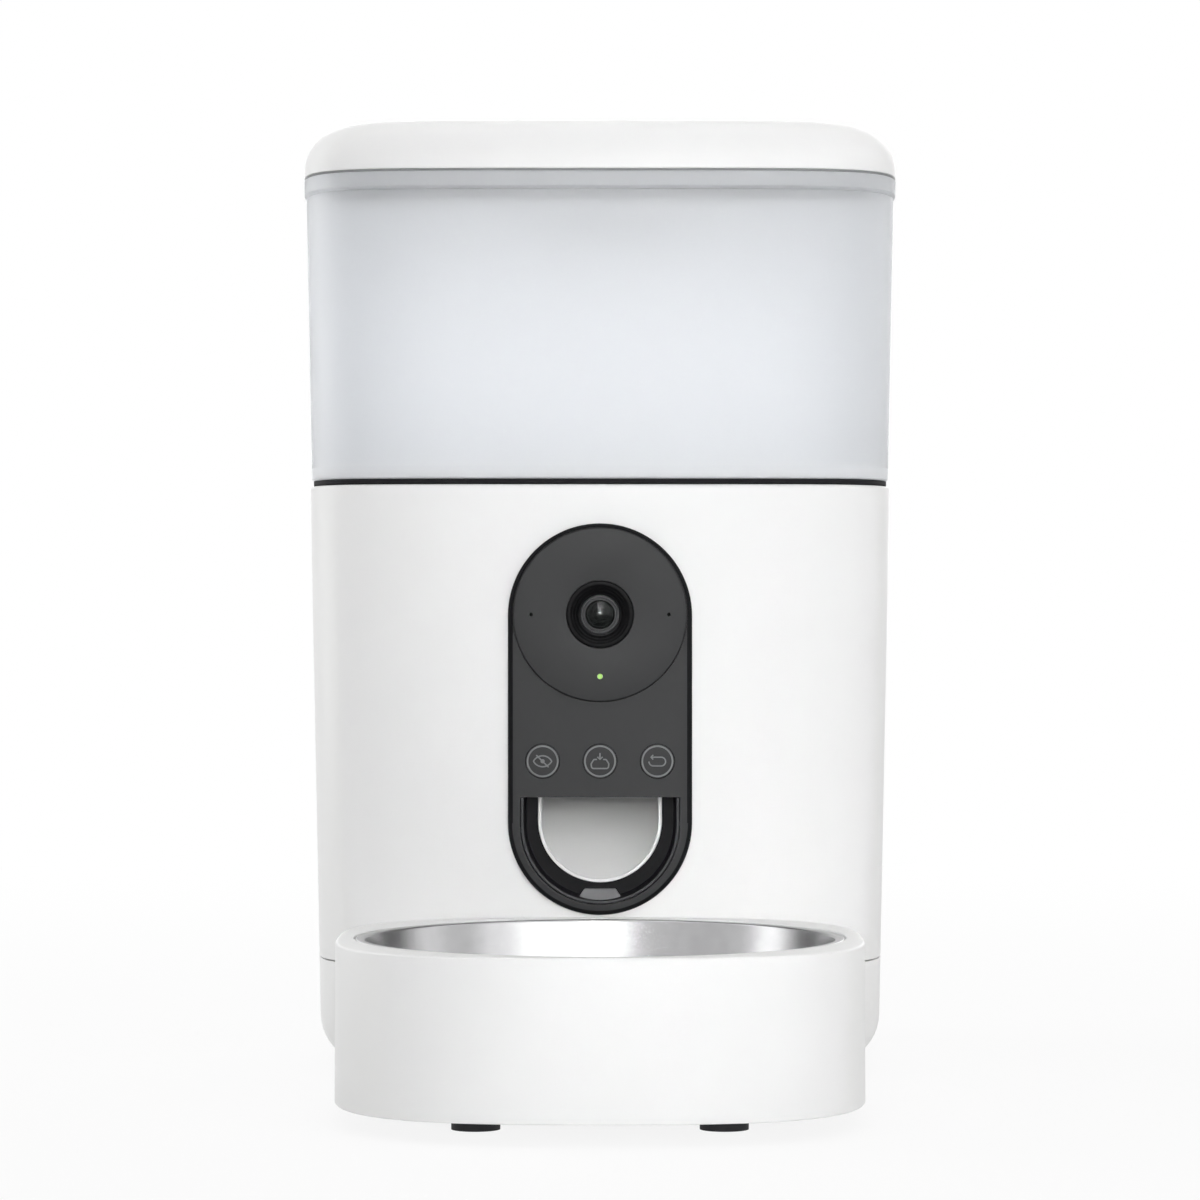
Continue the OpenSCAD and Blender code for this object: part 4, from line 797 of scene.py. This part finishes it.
def make_body():
    profile = rounded(
        [(0, SHELL_Z), (0, BODY_TOP_Z), (SHELL_WALL, BODY_TOP_Z), (SHELL_WALL, SHELL_Z)],
        [SEAM_EDGE, 1.0, 0.4, 0.2],
    )
    body = skin("tower_body", [tower(inset, z) for inset, z in profile], loop=True)
    inside = []
    for x, y in corner_places:
        inside.append(column("boss", x, y, BOSS_R, SHELL_Z, DECK_Z))
        side = math.copysign(1, x)
        reach = (1 - (BOSS_Y / (BODY_D / 2)) ** CORNER_POWER) ** (1 / CORNER_POWER)
        low_x = side * (width_at(RIB_Z) / 2 * reach - SHELL_WALL / 2)
        high_x = side * (width_at(DECK_Z) / 2 * reach - SHELL_WALL / 2)
        rib = [(x, RIB_Z), (low_x, RIB_Z), (high_x, DECK_Z), (x, DECK_Z)]
        inside.append(prism_y("rib", rib, y - RIB_T / 2, y + RIB_T / 2))
    for x in (-STANDOFF_X, STANDOFF_X):
        for z in STANDOFF_Z:
            inside.append(rod_y("standoff", x, z, STANDOFF_R, STANDOFF_Y, BACK_Y - SHELL_WALL / 2))
    added(body, inside)
    opening = stadium(PANEL_HOLE_R, PANEL_HALF, PANEL_Z)
    holes = [prism_y("panel_hole", opening, FRONT_Y - OVERLAP, FRONT_Y + WALL_CUT)]
    for x, y in corner_places:
        holes.append(column("pilot", x, y, SCREW_HOLE_R, SHELL_Z - OVERLAP, SHELL_Z + PILOT_L))
        holes.append(column("pilot", x, y, SCREW_HOLE_R, DECK_Z - PILOT_L, DECK_Z + OVERLAP))
    for i in range(-2, 3):
        x = i * GRILLE_PITCH
        half = math.sqrt(GRILLE_R ** 2 - x ** 2) - GRILLE_W / 2

        def slot(grow, x=x, half=half):
            return [(x + u, v) for u, v in stadium(GRILLE_W / 2 + grow, half, SPEAKER_Z, 12)]

        holes.append(back_cutter("grille", slot))

    def socket(grow):
        return slot_outline(SOCKET_HALF_W + grow, SOCKET_HALF_H + grow, SOCKET_Z)

    holes.append(back_cutter("socket", socket))
    cut(body, holes)
    piece(body, "feeder", "white_shell", ["body_shell"])


# Hopper and lid
def make_tank():
    inner = BAND_PROUD + TANK_WALL
    skirt_inner = SKIRT_INSET + TANK_WALL
    band_z = LID_Z - BAND_H
    foot_z = SHOULDER_Z + FUNNEL_WALL
    profile = rounded(
        [
            (BAND_PROUD, HOPPER_Z), (BAND_PROUD, foot_z), (BAND_PROUD, band_z - GROOVE_LOW),
            (BAND_PROUD + BAND_GROOVE, band_z - GROOVE_HIGH), (0, band_z), (0, LID_Z), (inner, LID_Z),
            (inner, SHOULDER_Z), (skirt_inner, SHOULDER_Z), (skirt_inner, SKIRT_Z),
            (SKIRT_INSET, SKIRT_Z), (SKIRT_INSET, HOPPER_Z),
        ],
        [1.0, 0, 0.15, 0.1, 0.2, 0.3, 0.5, 0.8, 0.4, 0.3, 0.3, 0.2],
    )
    tank = skin("hopper_wall", [tower(inset, z) for inset, z in profile], loop=True)
    piece(tank, "hopper", "frosted_tank", ["hopper_tank"])
    repainted(tank, frosted_foot, lambda face: face.center.z < foot_z * MM)
    low, high = BODY_TOP_Z + SEAL_LIFT, HOPPER_Z - TRIM_GAP
    back = SKIRT_INSET - TRIM_GAP
    bead = rounded(
        [(SEAL_INSET, low), (SEAL_INSET, high), (back, high), (back, low)],
        [0.5, 0.2, 0.1, 0.1],
    )
    seal = skin("hopper_seal", [tower(inset, z) for inset, z in bead], loop=True)
    painted(piece(seal, "hopper", "rubber"), seal_black)


def round_ring(radius, z):
    angles = [2 * math.pi * i / RING_COUNT for i in range(RING_COUNT)]
    return [(radius * math.cos(a), CHAMBER_Y + radius * math.sin(a), z) for a in angles]


def between(first, last, steps):
    """Rings from one to another, without the last."""
    rings = []
    for i in range(steps):
        t = i / steps
        rings.append([tuple(a + (b - a) * t for a, b in zip(p, q)) for p, q in zip(first, last)])
    return rings


def make_funnel():
    outer = between(round_ring(SPOUT_R, CONE_Z), tower(FUNNEL_INSET, CONE_TOP_Z), 10)
    inner = between(
        tower(FUNNEL_INSET + FUNNEL_WALL, CONE_TOP_Z + 1), round_ring(SPOUT_R - FUNNEL_WALL, CONE_Z + 1), 10
    )
    flange_z = SHOULDER_Z + FUNNEL_WALL
    rim = [
        (FUNNEL_INSET, CONE_TOP_Z), (FUNNEL_INSET, SHOULDER_Z), (FLANGE_INSET, SHOULDER_Z),
        (FLANGE_INSET, flange_z), (FUNNEL_INSET + FUNNEL_WALL, flange_z),
    ]
    rim_line = rounded(rim, [0, 0.4, 0.3, 0.5, 0.8], closed=False)
    rings = [round_ring(SPOUT_R, SPOUT_Z)] + outer + [tower(inset, z) for inset, z in rim_line]
    rings += inner + [round_ring(SPOUT_R - FUNNEL_WALL, z) for z in (CONE_Z + 1, SPOUT_Z)]
    piece(skin("hopper_cone", rings, loop=True), "hopper", "frosted_funnel", ["hopper_funnel"])


def make_lid():
    inside_z = LID_TOP_Z - LID_WALL
    flat = LID_FILLET + FLAT_FROM
    profile = rounded(
        [
            (flat, inside_z), (LID_WALL, inside_z), (LID_WALL, LID_Z), (LID_GAP_D, LID_Z),
            (LID_GAP_D, LID_Z + LID_GAP_H), (0, LID_Z + LID_GAP_H), (0, LID_TOP_Z), (flat, LID_TOP_Z),
        ],
        [0, LID_FILLET - LID_WALL, 0.3, 0.1, 0.1, 0.2, LID_FILLET, 0], closed=False, steps=14,
    )
    rings = [lid_ring(inset, z) for inset, z in profile]
    lid = skin("lid_shell", shrunk(rings[0], FLAT_RINGS[::-1]) + rings + shrunk(rings[-1], FLAT_RINGS))
    places = [(i * LID_SCREW_X, BODY_Y + j * LID_SCREW_Y) for i in (-1, 1) for j in (-1, 1)]
    added(lid, [column("boss", x, y, BOSS_R, PLUG_FLOOR_Z, inside_z + OVERLAP) for x, y in places])
    ends = (PLUG_FLOOR_Z - OVERLAP, PLUG_FLOOR_Z + PILOT_L)
    cut(lid, [column("pilot", x, y, SCREW_HOLE_R, *ends) for x, y in places])
    piece(lid, "lid", "white_shell", ["lid_cover"])
    # Grey strip set back in the lid's shadow gap: painted shade that darkens the gap line
    low, high = LID_Z + TRIM_GAP, LID_Z + LID_GAP_H - TRIM_GAP
    back = LID_GAP_D - TRIM_GAP
    strip = [(LID_SHADE_INSET, low), (LID_SHADE_INSET, high), (back, high), (back, low)]
    line = skin("lid_gap_shade", [lid_ring(inset, z) for inset, z in strip], loop=True)
    painted(piece(line, "lid", "rubber"), gap_shade_grey)


# Tray and bowl
def make_tray():
    well_outer = WELL_R + TRAY_WALL
    roof_z = TRAY_RIM_Z - 2 * TRAY_WALL
    ledge_z = BOWL_TOP_Z - BOWL_T
    seat_r = BOWL_RIM_R + BOWL_ROOM
    edge = rounded(
        [
            (TRAY_WALL, TRAY_LIFT + 1), (TRAY_WALL, TRAY_LIFT), (0, TRAY_LIFT), (0, TRAY_RIM_Z),
            (INWARD, TRAY_RIM_Z),
        ],
        [0, 0.4, TRAY_EDGE / 2, TRAY_EDGE, 0], closed=False, steps=8,
    )
    rings = [tray_circle(r, TRAY_LIFT) for r in (WELL_CORE_R, well_outer / 2, well_outer)]
    rings += [tray_circle(well_outer, roof_z), tray_ring(TRAY_WALL, roof_z)]
    rings += [tray_ring(inset, z) for inset, z in edge[:-1]]
    well = rounded(
        [(seat_r + 0.4, TRAY_RIM_Z), (seat_r, TRAY_RIM_Z), (seat_r, ledge_z), (WELL_R, ledge_z),
         (WELL_R, WELL_FLOOR_Z), (WELL_R / 2, WELL_FLOOR_Z), (WELL_CORE_R, WELL_FLOOR_Z)],
        [0, 0.3, 0.2, 0.2, 1.0, 0, 0], closed=False,
    )
    rings += [tray_circle(r, z) for r, z in well]
    tray = skin("feeding_tray", rings)
    hooks = []
    for i in (-1, 1):
        low = (i * HOOK_X - HOOK_W / 2, FRONT_Y - HOOK_ROOT, HOOK_Z)
        high = (i * HOOK_X + HOOK_W / 2, FRONT_Y + HOOK_REACH, HOOK_Z + HOOK_T)
        hooks.append(block("hook", low, high))
    added(tray, hooks)
    piece(tray, "tray", "white_shell", ["bowl_tray"])


def bowl_line(out):
    """Half of the bowl's section, from the axis to the rim, grown by the sheet."""
    foot_r = BOWL_R - BOWL_LEAN - BOWL_ROUND
    lean = math.degrees(math.atan2(BOWL_LEAN, BOWL_TOP_Z - BOWL_FLOOR_Z - BOWL_ROUND))
    turn = arc((foot_r, BOWL_FLOOR_Z + BOWL_ROUND), BOWL_ROUND + out, -90, -lean, 20)
    floor = [(r, BOWL_FLOOR_Z - out) for r in (1, foot_r / 2)]
    return floor + turn


def make_bowl():
    ledge_z = BOWL_TOP_Z - BOWL_T
    inner = bowl_line(0)
    outer = bowl_line(BOWL_T)
    rim = rounded(
        [inner[-1], (BOWL_R, BOWL_TOP_Z), (BOWL_RIM_R, BOWL_TOP_Z), (BOWL_RIM_R, ledge_z),
         (BOWL_R + BOWL_T, ledge_z), outer[-1]],
        [0, 0.9, 0.38, 0.38, 0.3, 0], closed=False, steps=8,
    )
    bowl = turned_z("feeding_bowl", inner[:-1] + rim + outer[-2::-1], 0, TRAY_Y, False)
    piece(bowl, "bowl", "bowl_steel", ["steel_bowl"])


# Front panel
def make_panel():
    """Panel with a black rounded edge and a grey face."""
    profile = rounded(
        [
            (SPIGOT_STEP, SPIGOT_BACK_Y), (SPIGOT_STEP, FRONT_Y), (0, FRONT_Y), (0, PANEL_FACE_Y),
            (INWARD, PANEL_FACE_Y),
        ],
        [0, 0, 0.2, PANEL_EDGE, 0], closed=False, steps=10,
    )
    rings = []
    for inset, y in profile[:-1]:
        rings.append([(x, y, z) for x, z in stadium(PANEL_R - inset, PANEL_HALF, PANEL_Z)])
    panel = skin("panel_form", rings)
    hole_r = RECESS_R + RECESS_RIM + GLUE_GAP
    hole_top = RECESS_TOP_Z + RECESS_RIM + GLUE_GAP
    hole_steps = [
        (LIP_LOW_Z, PANEL_FACE_Y - OVERLAP), (LIP_LOW_Z, LIP_BACK_Y),
        (hole_top, LIP_BACK_Y), (hole_top, SPIGOT_BACK_Y + OVERLAP),
    ]
    bezel_hole = [[(x, y, z) for x, z in u_outline(hole_r, RECESS_CENTRE_Z, top)] for top, y in hole_steps]
    seat = [
        (COVER_R + GLUE_GAP, PANEL_FACE_Y - OVERLAP), (COVER_R + GLUE_GAP, COVER_BACK_Y),
        (COVER_HOLE_R, COVER_BACK_Y), (COVER_HOLE_R, SPIGOT_BACK_Y + OVERLAP),
    ]
    holes = [turned_y("seat", seat, 0, CAMERA_Z, False), skin("bezel_hole", bezel_hole)]
    key_room = KEY_R + KEY_CLEAR
    key_hole = [
        (key_room + OVERLAP, PANEL_FACE_Y - OVERLAP), (key_room + KEY_CHAMFER, PANEL_FACE_Y),
        (key_room, PANEL_FACE_Y + KEY_CHAMFER), (key_room, KEY_ROOM_Y),
        (KEY_R + KEY_SIDE_ROOM, KEY_ROOM_Y), (KEY_R + KEY_SIDE_ROOM, SPIGOT_BACK_Y + OVERLAP),
    ]
    for i in (-1, 0, 1):
        holes.append(turned_y("key_hole", key_hole, i * KEY_PITCH, KEY_Z, False))
    cut(panel, holes)
    piece(panel, "feeder", "panel_black", ["face_panel"])
    repainted(panel, finishes["camera_grey"], in_front(PANEL_FACE_Y + FACE_DEPTH, tilt=0.99))


def make_camera():
    cover = rounded(
        [(HOOD_R + GLUE_GAP, COVER_FACE_Y), (COVER_R, COVER_FACE_Y), (COVER_R, COVER_BACK_Y),
         (HOOD_R + GLUE_GAP, COVER_BACK_Y)],
        [0.2, 0.45, 0.2, 0.1],
    )
    disc = turned_y("camera_disc", cover, 0, CAMERA_Z, True)
    ends = (COVER_FACE_Y - OVERLAP, COVER_BACK_Y + OVERLAP)
    holes = [rod_y("mic", i * MIC_X, CAMERA_Z, MIC_HOLE_R, *ends) for i in (-1, 1)]
    holes.append(rod_y("light", 0, CAMERA_Z - LIGHT_DROP, LIGHT_R + LIGHT_CLEAR, *ends))
    cut(disc, holes)
    piece(disc, "feeder", "camera_grey", ["camera_cover"])

    hood_front = COVER_FACE_Y + GLUE_GAP
    hood_floor = COVER_BACK_Y - HOOD_FLOOR
    hood = rounded(
        [(HOOD_R, COVER_BACK_Y)]
        + [(HOOD_R - inset, hood_front + back) for inset, back in HOOD_STEPS]
        + [(HOOD_R - HOOD_FOOT, hood_floor), (BARREL_R + GLUE_GAP, hood_floor),
           (BARREL_R + GLUE_GAP, COVER_BACK_Y)],
        [0.1, 0.12, 0.15] + [0.05] * 7,
    )
    piece(turned_y("lens_cone", hood, 0, CAMERA_Z, True), "feeder", "lens_black", ["lens_hood"])

    seat_r = GLASS_R + GLUE_GAP
    barrel_back = BARREL_FRONT_Y + BARREL_L
    barrel = rounded(
        [(BARREL_R, barrel_back)]
        + [(BARREL_R - inset, BARREL_FRONT_Y + back) for inset, back in BARREL_STEPS]
        + [(seat_r, BARREL_FRONT_Y), (seat_r, GLASS_BACK_Y), (IRIS_STEP_R, GLASS_BACK_Y),
           (IRIS_STEP_R - 0.2, GLASS_BACK_Y + 1), (IRIS_R + 0.6, GLASS_BACK_Y + 1.4),
           (IRIS_R, GLASS_BACK_Y + 2.4), (IRIS_R, ELEMENT_Y), (IRIS_R + 0.6, ELEMENT_Y + 2),
           (BORE_R, ELEMENT_Y + 3), (BORE_R, barrel_back)],
        [0.2, 0.15] + [0.03] * 4 + [0.1, 0.05] + [0.03] * 8,
    )
    tube = piece(turned_y("lens_tube", barrel, 0, CAMERA_Z, True), "feeder", "lens_black", ["lens_barrel"])
    # Painted highlight: the barrel's front ring takes a lighter grey than the rest of the black barrel
    repainted(tube, ring_highlight_grey, in_front(BARREL_FRONT_Y + RING_HIGHLIGHT_DEPTH))

    dome = [(0.2, GLASS_BACK_Y - 0.35), (GLASS_R * 0.5, GLASS_BACK_Y - 0.25), (GLASS_R, GLASS_BACK_Y)]
    for i in range(GLASS_STEPS):
        t = 1 - i / GLASS_STEPS
        dome.append((GLASS_R * t, BARREL_FRONT_Y + GLASS_SEAT / 2 - GLASS_BULGE * (1 - t * t)))
    piece(turned_y("front_lens", dome, 0, CAMERA_Z, False), "feeder", "lens_glass", ["lens_glass"])

    element = [(0.1, ELEMENT_BACK_Y), (ELEMENT_R, ELEMENT_BACK_Y), (ELEMENT_R, ELEMENT_EDGE_Y)]
    for i in range(1, ELEMENT_STEPS):
        t = 1 - i / ELEMENT_STEPS
        element.append((ELEMENT_R * t, ELEMENT_EDGE_Y - ELEMENT_BULGE * (1 - t * t)))
    inner = turned_y("inner_lens", element, 0, CAMERA_Z, False)
    painted(piece(inner, "feeder", "lens_glass"), coated_element)


def make_bezel():
    """Recess round the mouth, with a rim that stands a little proud of the panel."""
    outer_r = RECESS_R + RECESS_RIM
    outer_top = RECESS_TOP_Z + RECESS_RIM
    front = PANEL_FACE_Y - GLUE_GAP

    def u_ring(radius, top, y, centre=RECESS_CENTRE_Z):
        return [(x, y, z) for x, z in u_outline(radius, centre, top, RECESS_CORNER)]

    hole_r = MOUTH_R + COLLAR_T + GLUE_GAP
    hole_top = MOUTH_TOP_Z + COLLAR_T + GLUE_GAP
    rings = [u_ring(outer_r, outer_top, BEZEL_BACK_Y)]
    rings += [u_ring(outer_r - inset, outer_top - inset, front + back) for inset, back in RIM_STEPS]
    rings += [
        u_ring(RECESS_R, RECESS_TOP_Z, front + RIM_STEPS[0][1]),
        u_ring(RECESS_R - RECESS_LEAN, RECESS_TOP_Z - 0.1, RECESS_FLOOR_Y - 0.3),
        u_ring(RECESS_R - RECESS_LEAN - 0.3, RECESS_TOP_Z - 0.2, RECESS_FLOOR_Y),
        u_ring(hole_r, hole_top, RECESS_FLOOR_Y, MOUTH_CENTRE_Z),
        u_ring(hole_r, hole_top, BEZEL_BACK_Y, MOUTH_CENTRE_Z),
    ]
    surround = skin("outlet_surround", rings, loop=True)
    over = (RECESS_R + 5, LIP_BACK_Y + GLUE_GAP, RECESS_TOP_Z + 5)
    cut(surround, [block("lip_room", (-over[0], PANEL_FACE_Y - 5, LIP_LOW_Z - GLUE_GAP), over)])
    piece(surround, "feeder", "bezel_grey", ["outlet_bezel"])
    # Painted highlight: the rim's front faces take a lighter grey than the rest of the bezel
    repainted(surround, rim_highlight_grey, in_front(front + RIM_HIGHLIGHT_DEPTH))

    sections = [
        (TONGUE_TOP, TONGUE_HIGH_Z, RECESS_FLOOR_Y - 0.8),
        (TONGUE_TOP + 0.3, TONGUE_HIGH_Z - 0.3, RECESS_FLOOR_Y - 1.2),
        (TONGUE_FOOT - 0.3, TONGUE_LOW_Z + 0.3, PANEL_FACE_Y + 1.3),
        (TONGUE_FOOT, TONGUE_LOW_Z, PANEL_FACE_Y + 1.0),
    ]
    root_y = RECESS_FLOOR_Y + 0.5
    rings = []
    for half, z, y in sections:
        rings.append([(-half, y, z), (half, y, z), (half, root_y, z), (-half, root_y, z)])
    tongue = softened(skin("outlet_tongue", rings), 0.15)
    painted(piece(tongue, "feeder", "bezel_grey"), tongue_grey)


# Keys with their printed signs
def make_key(body, node, x):
    flange_r = KEY_R + KEY_FLANGE
    flange_back = KEY_FLANGE_Y + KEY_FLANGE_T
    profile = rounded(
        [(KEY_CORE_R, KEY_STEM_Y), (KEY_STEM_R, KEY_STEM_Y), (KEY_STEM_R, flange_back),
         (flange_r, flange_back), (flange_r, KEY_FLANGE_Y), (KEY_R, KEY_FLANGE_Y),
         (KEY_R, KEY_FACE_Y), (KEY_R / 2, KEY_FACE_Y), (KEY_CORE_R, KEY_FACE_Y)],
        [0, 0, 0, 0.1, 0.1, 0, 0.18, 0, 0], closed=False,
    )
    piece(turned_y(f"{node}_cap", profile, x, KEY_Z, False), body, "key_grey", [node])


def make_sign(name, body, x, strokes):
    """Printed lines on a key: thin flattened strokes that stand on its face."""
    curve = bpy.data.curves.new(name, "CURVE")
    curve.dimensions = "3D"
    curve.bevel_resolution = 3
    curve.use_fill_caps = True
    for points, width, cyclic in strokes:
        spline = curve.splines.new("POLY")
        spline.points.add(len(points) - 1)
        for point, (u, v) in zip(spline.points, points):
            point.co = (u * MM, 0, v * MM, 1)
            point.radius = width / SIGN_LINE
        spline.use_cyclic_u = cyclic
    curve.bevel_depth = SIGN_LINE / 2 * MM
    drawn = bpy.data.objects.new(name, curve)
    bpy.context.scene.collection.objects.link(drawn)
    depsgraph = bpy.context.evaluated_depsgraph_get()
    mesh = bpy.data.meshes.new_from_object(drawn.evaluated_get(depsgraph))
    bpy.data.objects.remove(drawn)
    flat = SIGN_PROUD / (SIGN_LINE / 2)
    for vertex in mesh.vertices:
        u, depth, v = vertex.co
        vertex.co = (u + x * MM, depth * flat + KEY_FACE_Y * MM, v + KEY_Z * MM)
    sign = bpy.data.objects.new(name, mesh)
    bpy.context.scene.collection.objects.link(sign)
    painted(piece(sign, body, "key_grey"), print_grey)


def make_keys():
    ring = (arc((0, 0), SIGN_RING_R, 0, 360, 64)[:-1], SIGN_RING_LINE, True)
    upper_lid = arc((0, -1.5), 3.2, 28, 152, 18)
    lower_lid = arc((0, 1.5), 3.2, 208, 332, 18)
    eye = [
        ring, (upper_lid + lower_lid, SIGN_LINE, True),
        (arc((0, 0), 0.45, 0, 360, 20)[:-1], SIGN_LINE, True),
        ([(-1.95, 1.9), (1.85, -1.85)], SIGN_LINE, False),
    ]
    dish = rounded(
        [
            (-0.95, 0.55), (-1.9, 0.55), (-2.75, -0.8), (-2.6, -2.25),
            (2.6, -2.25), (2.75, -0.8), (1.9, 0.55), (0.95, 0.55),
        ],
        [0, 0.4, 0.5, 0.7, 0.7, 0.5, 0.4, 0], closed=False,
    )
    feed = [
        ring, (dish, SIGN_LINE, False), ([(0, 2.55), (0, 0.55)], SIGN_LINE, False),
        ([(-0.8, 1.35), (0, 0.55), (0.8, 1.35)], SIGN_LINE, False),
    ]
    loop = [(-2.0, 1.25), (1.2, 1.25)] + arc((1.2, -0.1), 1.35, 90, -90, 14)[1:] + [(-1.25, -1.45)]
    loop += arc((-1.25, -0.1), 1.35, 270, 180, 8)[1:]
    back = [
        ring, (loop, SIGN_LINE, False),
        ([(-1.3, 1.95), (-2.0, 1.25), (-1.3, 0.55)], SIGN_LINE, False),
    ]
    keys = (("privacy", eye, -1), ("feed", feed, 0), ("replay", back, 1))
    for name, strokes, side in keys:
        make_key(f"{name}_button", f"{name}_key", side * KEY_PITCH)
        make_sign(f"{name}_sign", f"{name}_button", side * KEY_PITCH, strokes)


make_base()
make_body()
make_tank()
make_funnel()
make_lid()
make_tray()
make_bowl()
make_panel()
make_camera()
make_bezel()
make_keys()

# The CAD nodes that stay take the finish of their slot
for entry in frame["record"]["subparts"]:
    if entry["node"] not in stood_for:
        node = nodes[entry["node"]]
        shade_smooth(node)
        node.data.materials.clear()
        node.data.materials.append(finishes[entry["material_slot"]])


# Studio
def seen_rays(tree):
    """One for what the camera, a reflection or a look through glass meets, nothing for light itself."""
    path = add_node(tree, "ShaderNodeLightPath")
    total = path.outputs["Is Camera Ray"]
    for ray in ("Is Glossy Ray", "Is Transmission Ray"):
        larger = add_node(tree, "ShaderNodeMath", operation="MAXIMUM")
        tree.links.new(total, larger.inputs[0])
        tree.links.new(path.outputs[ray], larger.inputs[1])
        total = larger.outputs[0]
    return total


def make_floor():
    """Pale floor that reads white, keeps the shadow near the object and runs out into the background."""
    reach = FLOOR_REACH / MM
    corners = [(-reach, -reach, 0), (reach, -reach, 0), (reach, reach, 0), (-reach, reach, 0)]
    floor = mesh_object("floor", corners, [(0, 1, 2, 3)])
    material, tree, shader = new_material("floor")
    mottle(tree, shader, FLOOR_SHADE, amount=0.01, scale=6.0)
    shader.inputs["Roughness"].default_value = 0.9
    shader.inputs["Specular IOR Level"].default_value = 0.1
    place = add_node(tree, "ShaderNodeTexCoord")
    far = add_node(tree, "ShaderNodeVectorMath", operation="LENGTH")
    fade = spread(tree, far.outputs["Value"], FLOOR_GLOW, 1.0, FLOOR_NEAR, FLOOR_FAR, "SMOOTHSTEP")
    share = add_node(tree, "ShaderNodeMath", operation="MULTIPLY")
    glow = add_node(tree, "ShaderNodeEmission", Strength=1.0)
    mix = add_node(tree, "ShaderNodeMixShader")
    tree.links.new(place.outputs["Object"], far.inputs[0])
    tree.links.new(fade, share.inputs[0])
    tree.links.new(seen_rays(tree), share.inputs[1])
    tree.links.new(share.outputs[0], mix.inputs[0])
    tree.links.new(shader.outputs[0], mix.inputs[1])
    tree.links.new(glow.outputs[0], mix.inputs[2])
    tree.links.new(mix.outputs[0], tree.nodes["Material Output"].inputs["Surface"])
    floor.data.materials.append(material)


def make_world():
    """White to the eye and in reflections, and a softer fill light on the object."""
    world = bpy.data.worlds.new("studio")
    bpy.context.scene.world = world
    world.use_nodes = True
    tree = world.node_tree
    background = tree.nodes["Background"]
    background.inputs["Color"].default_value = (1, 1, 1, 1)
    level = spread(tree, seen_rays(tree), FILL_LEVEL, 1.0, 0.0, 1.0)
    tree.links.new(level, background.inputs["Strength"])


def make_lamp(name, place, aim, size, power, beam):
    """Softbox that the camera doesn't see; the beam is its opening in degrees."""
    lamp = bpy.data.lights.new(name, "AREA")
    lamp.shape = "RECTANGLE"
    lamp.size, lamp.size_y = size
    lamp.energy = power
    lamp.spread = math.radians(beam)
    obj = bpy.data.objects.new(name, lamp)
    obj.visible_camera = False
    bpy.context.scene.collection.objects.link(obj)
    obj.location = place
    obj.rotation_euler = (Vector(aim) - Vector(place)).to_track_quat("-Z", "Y").to_euler()


def make_camera_view():
    """Level camera at the height and distance of the photograph."""
    view = bpy.data.cameras.new("camera")
    view.sensor_width = 36.0
    view.sensor_fit = "HORIZONTAL"
    view.lens = VIEW_LENS
    view.clip_end = 50.0
    obj = bpy.data.objects.new("camera", view)
    bpy.context.scene.collection.objects.link(obj)
    obj.location = VIEW_PLACE
    obj.rotation_euler = (math.pi / 2, 0, 0)
    bpy.context.scene.camera = obj


make_camera_view()
make_floor()
make_world()
for lamp in LAMPS:
    make_lamp(*lamp)

bpy.context.scene.view_settings.view_transform = "Standard"
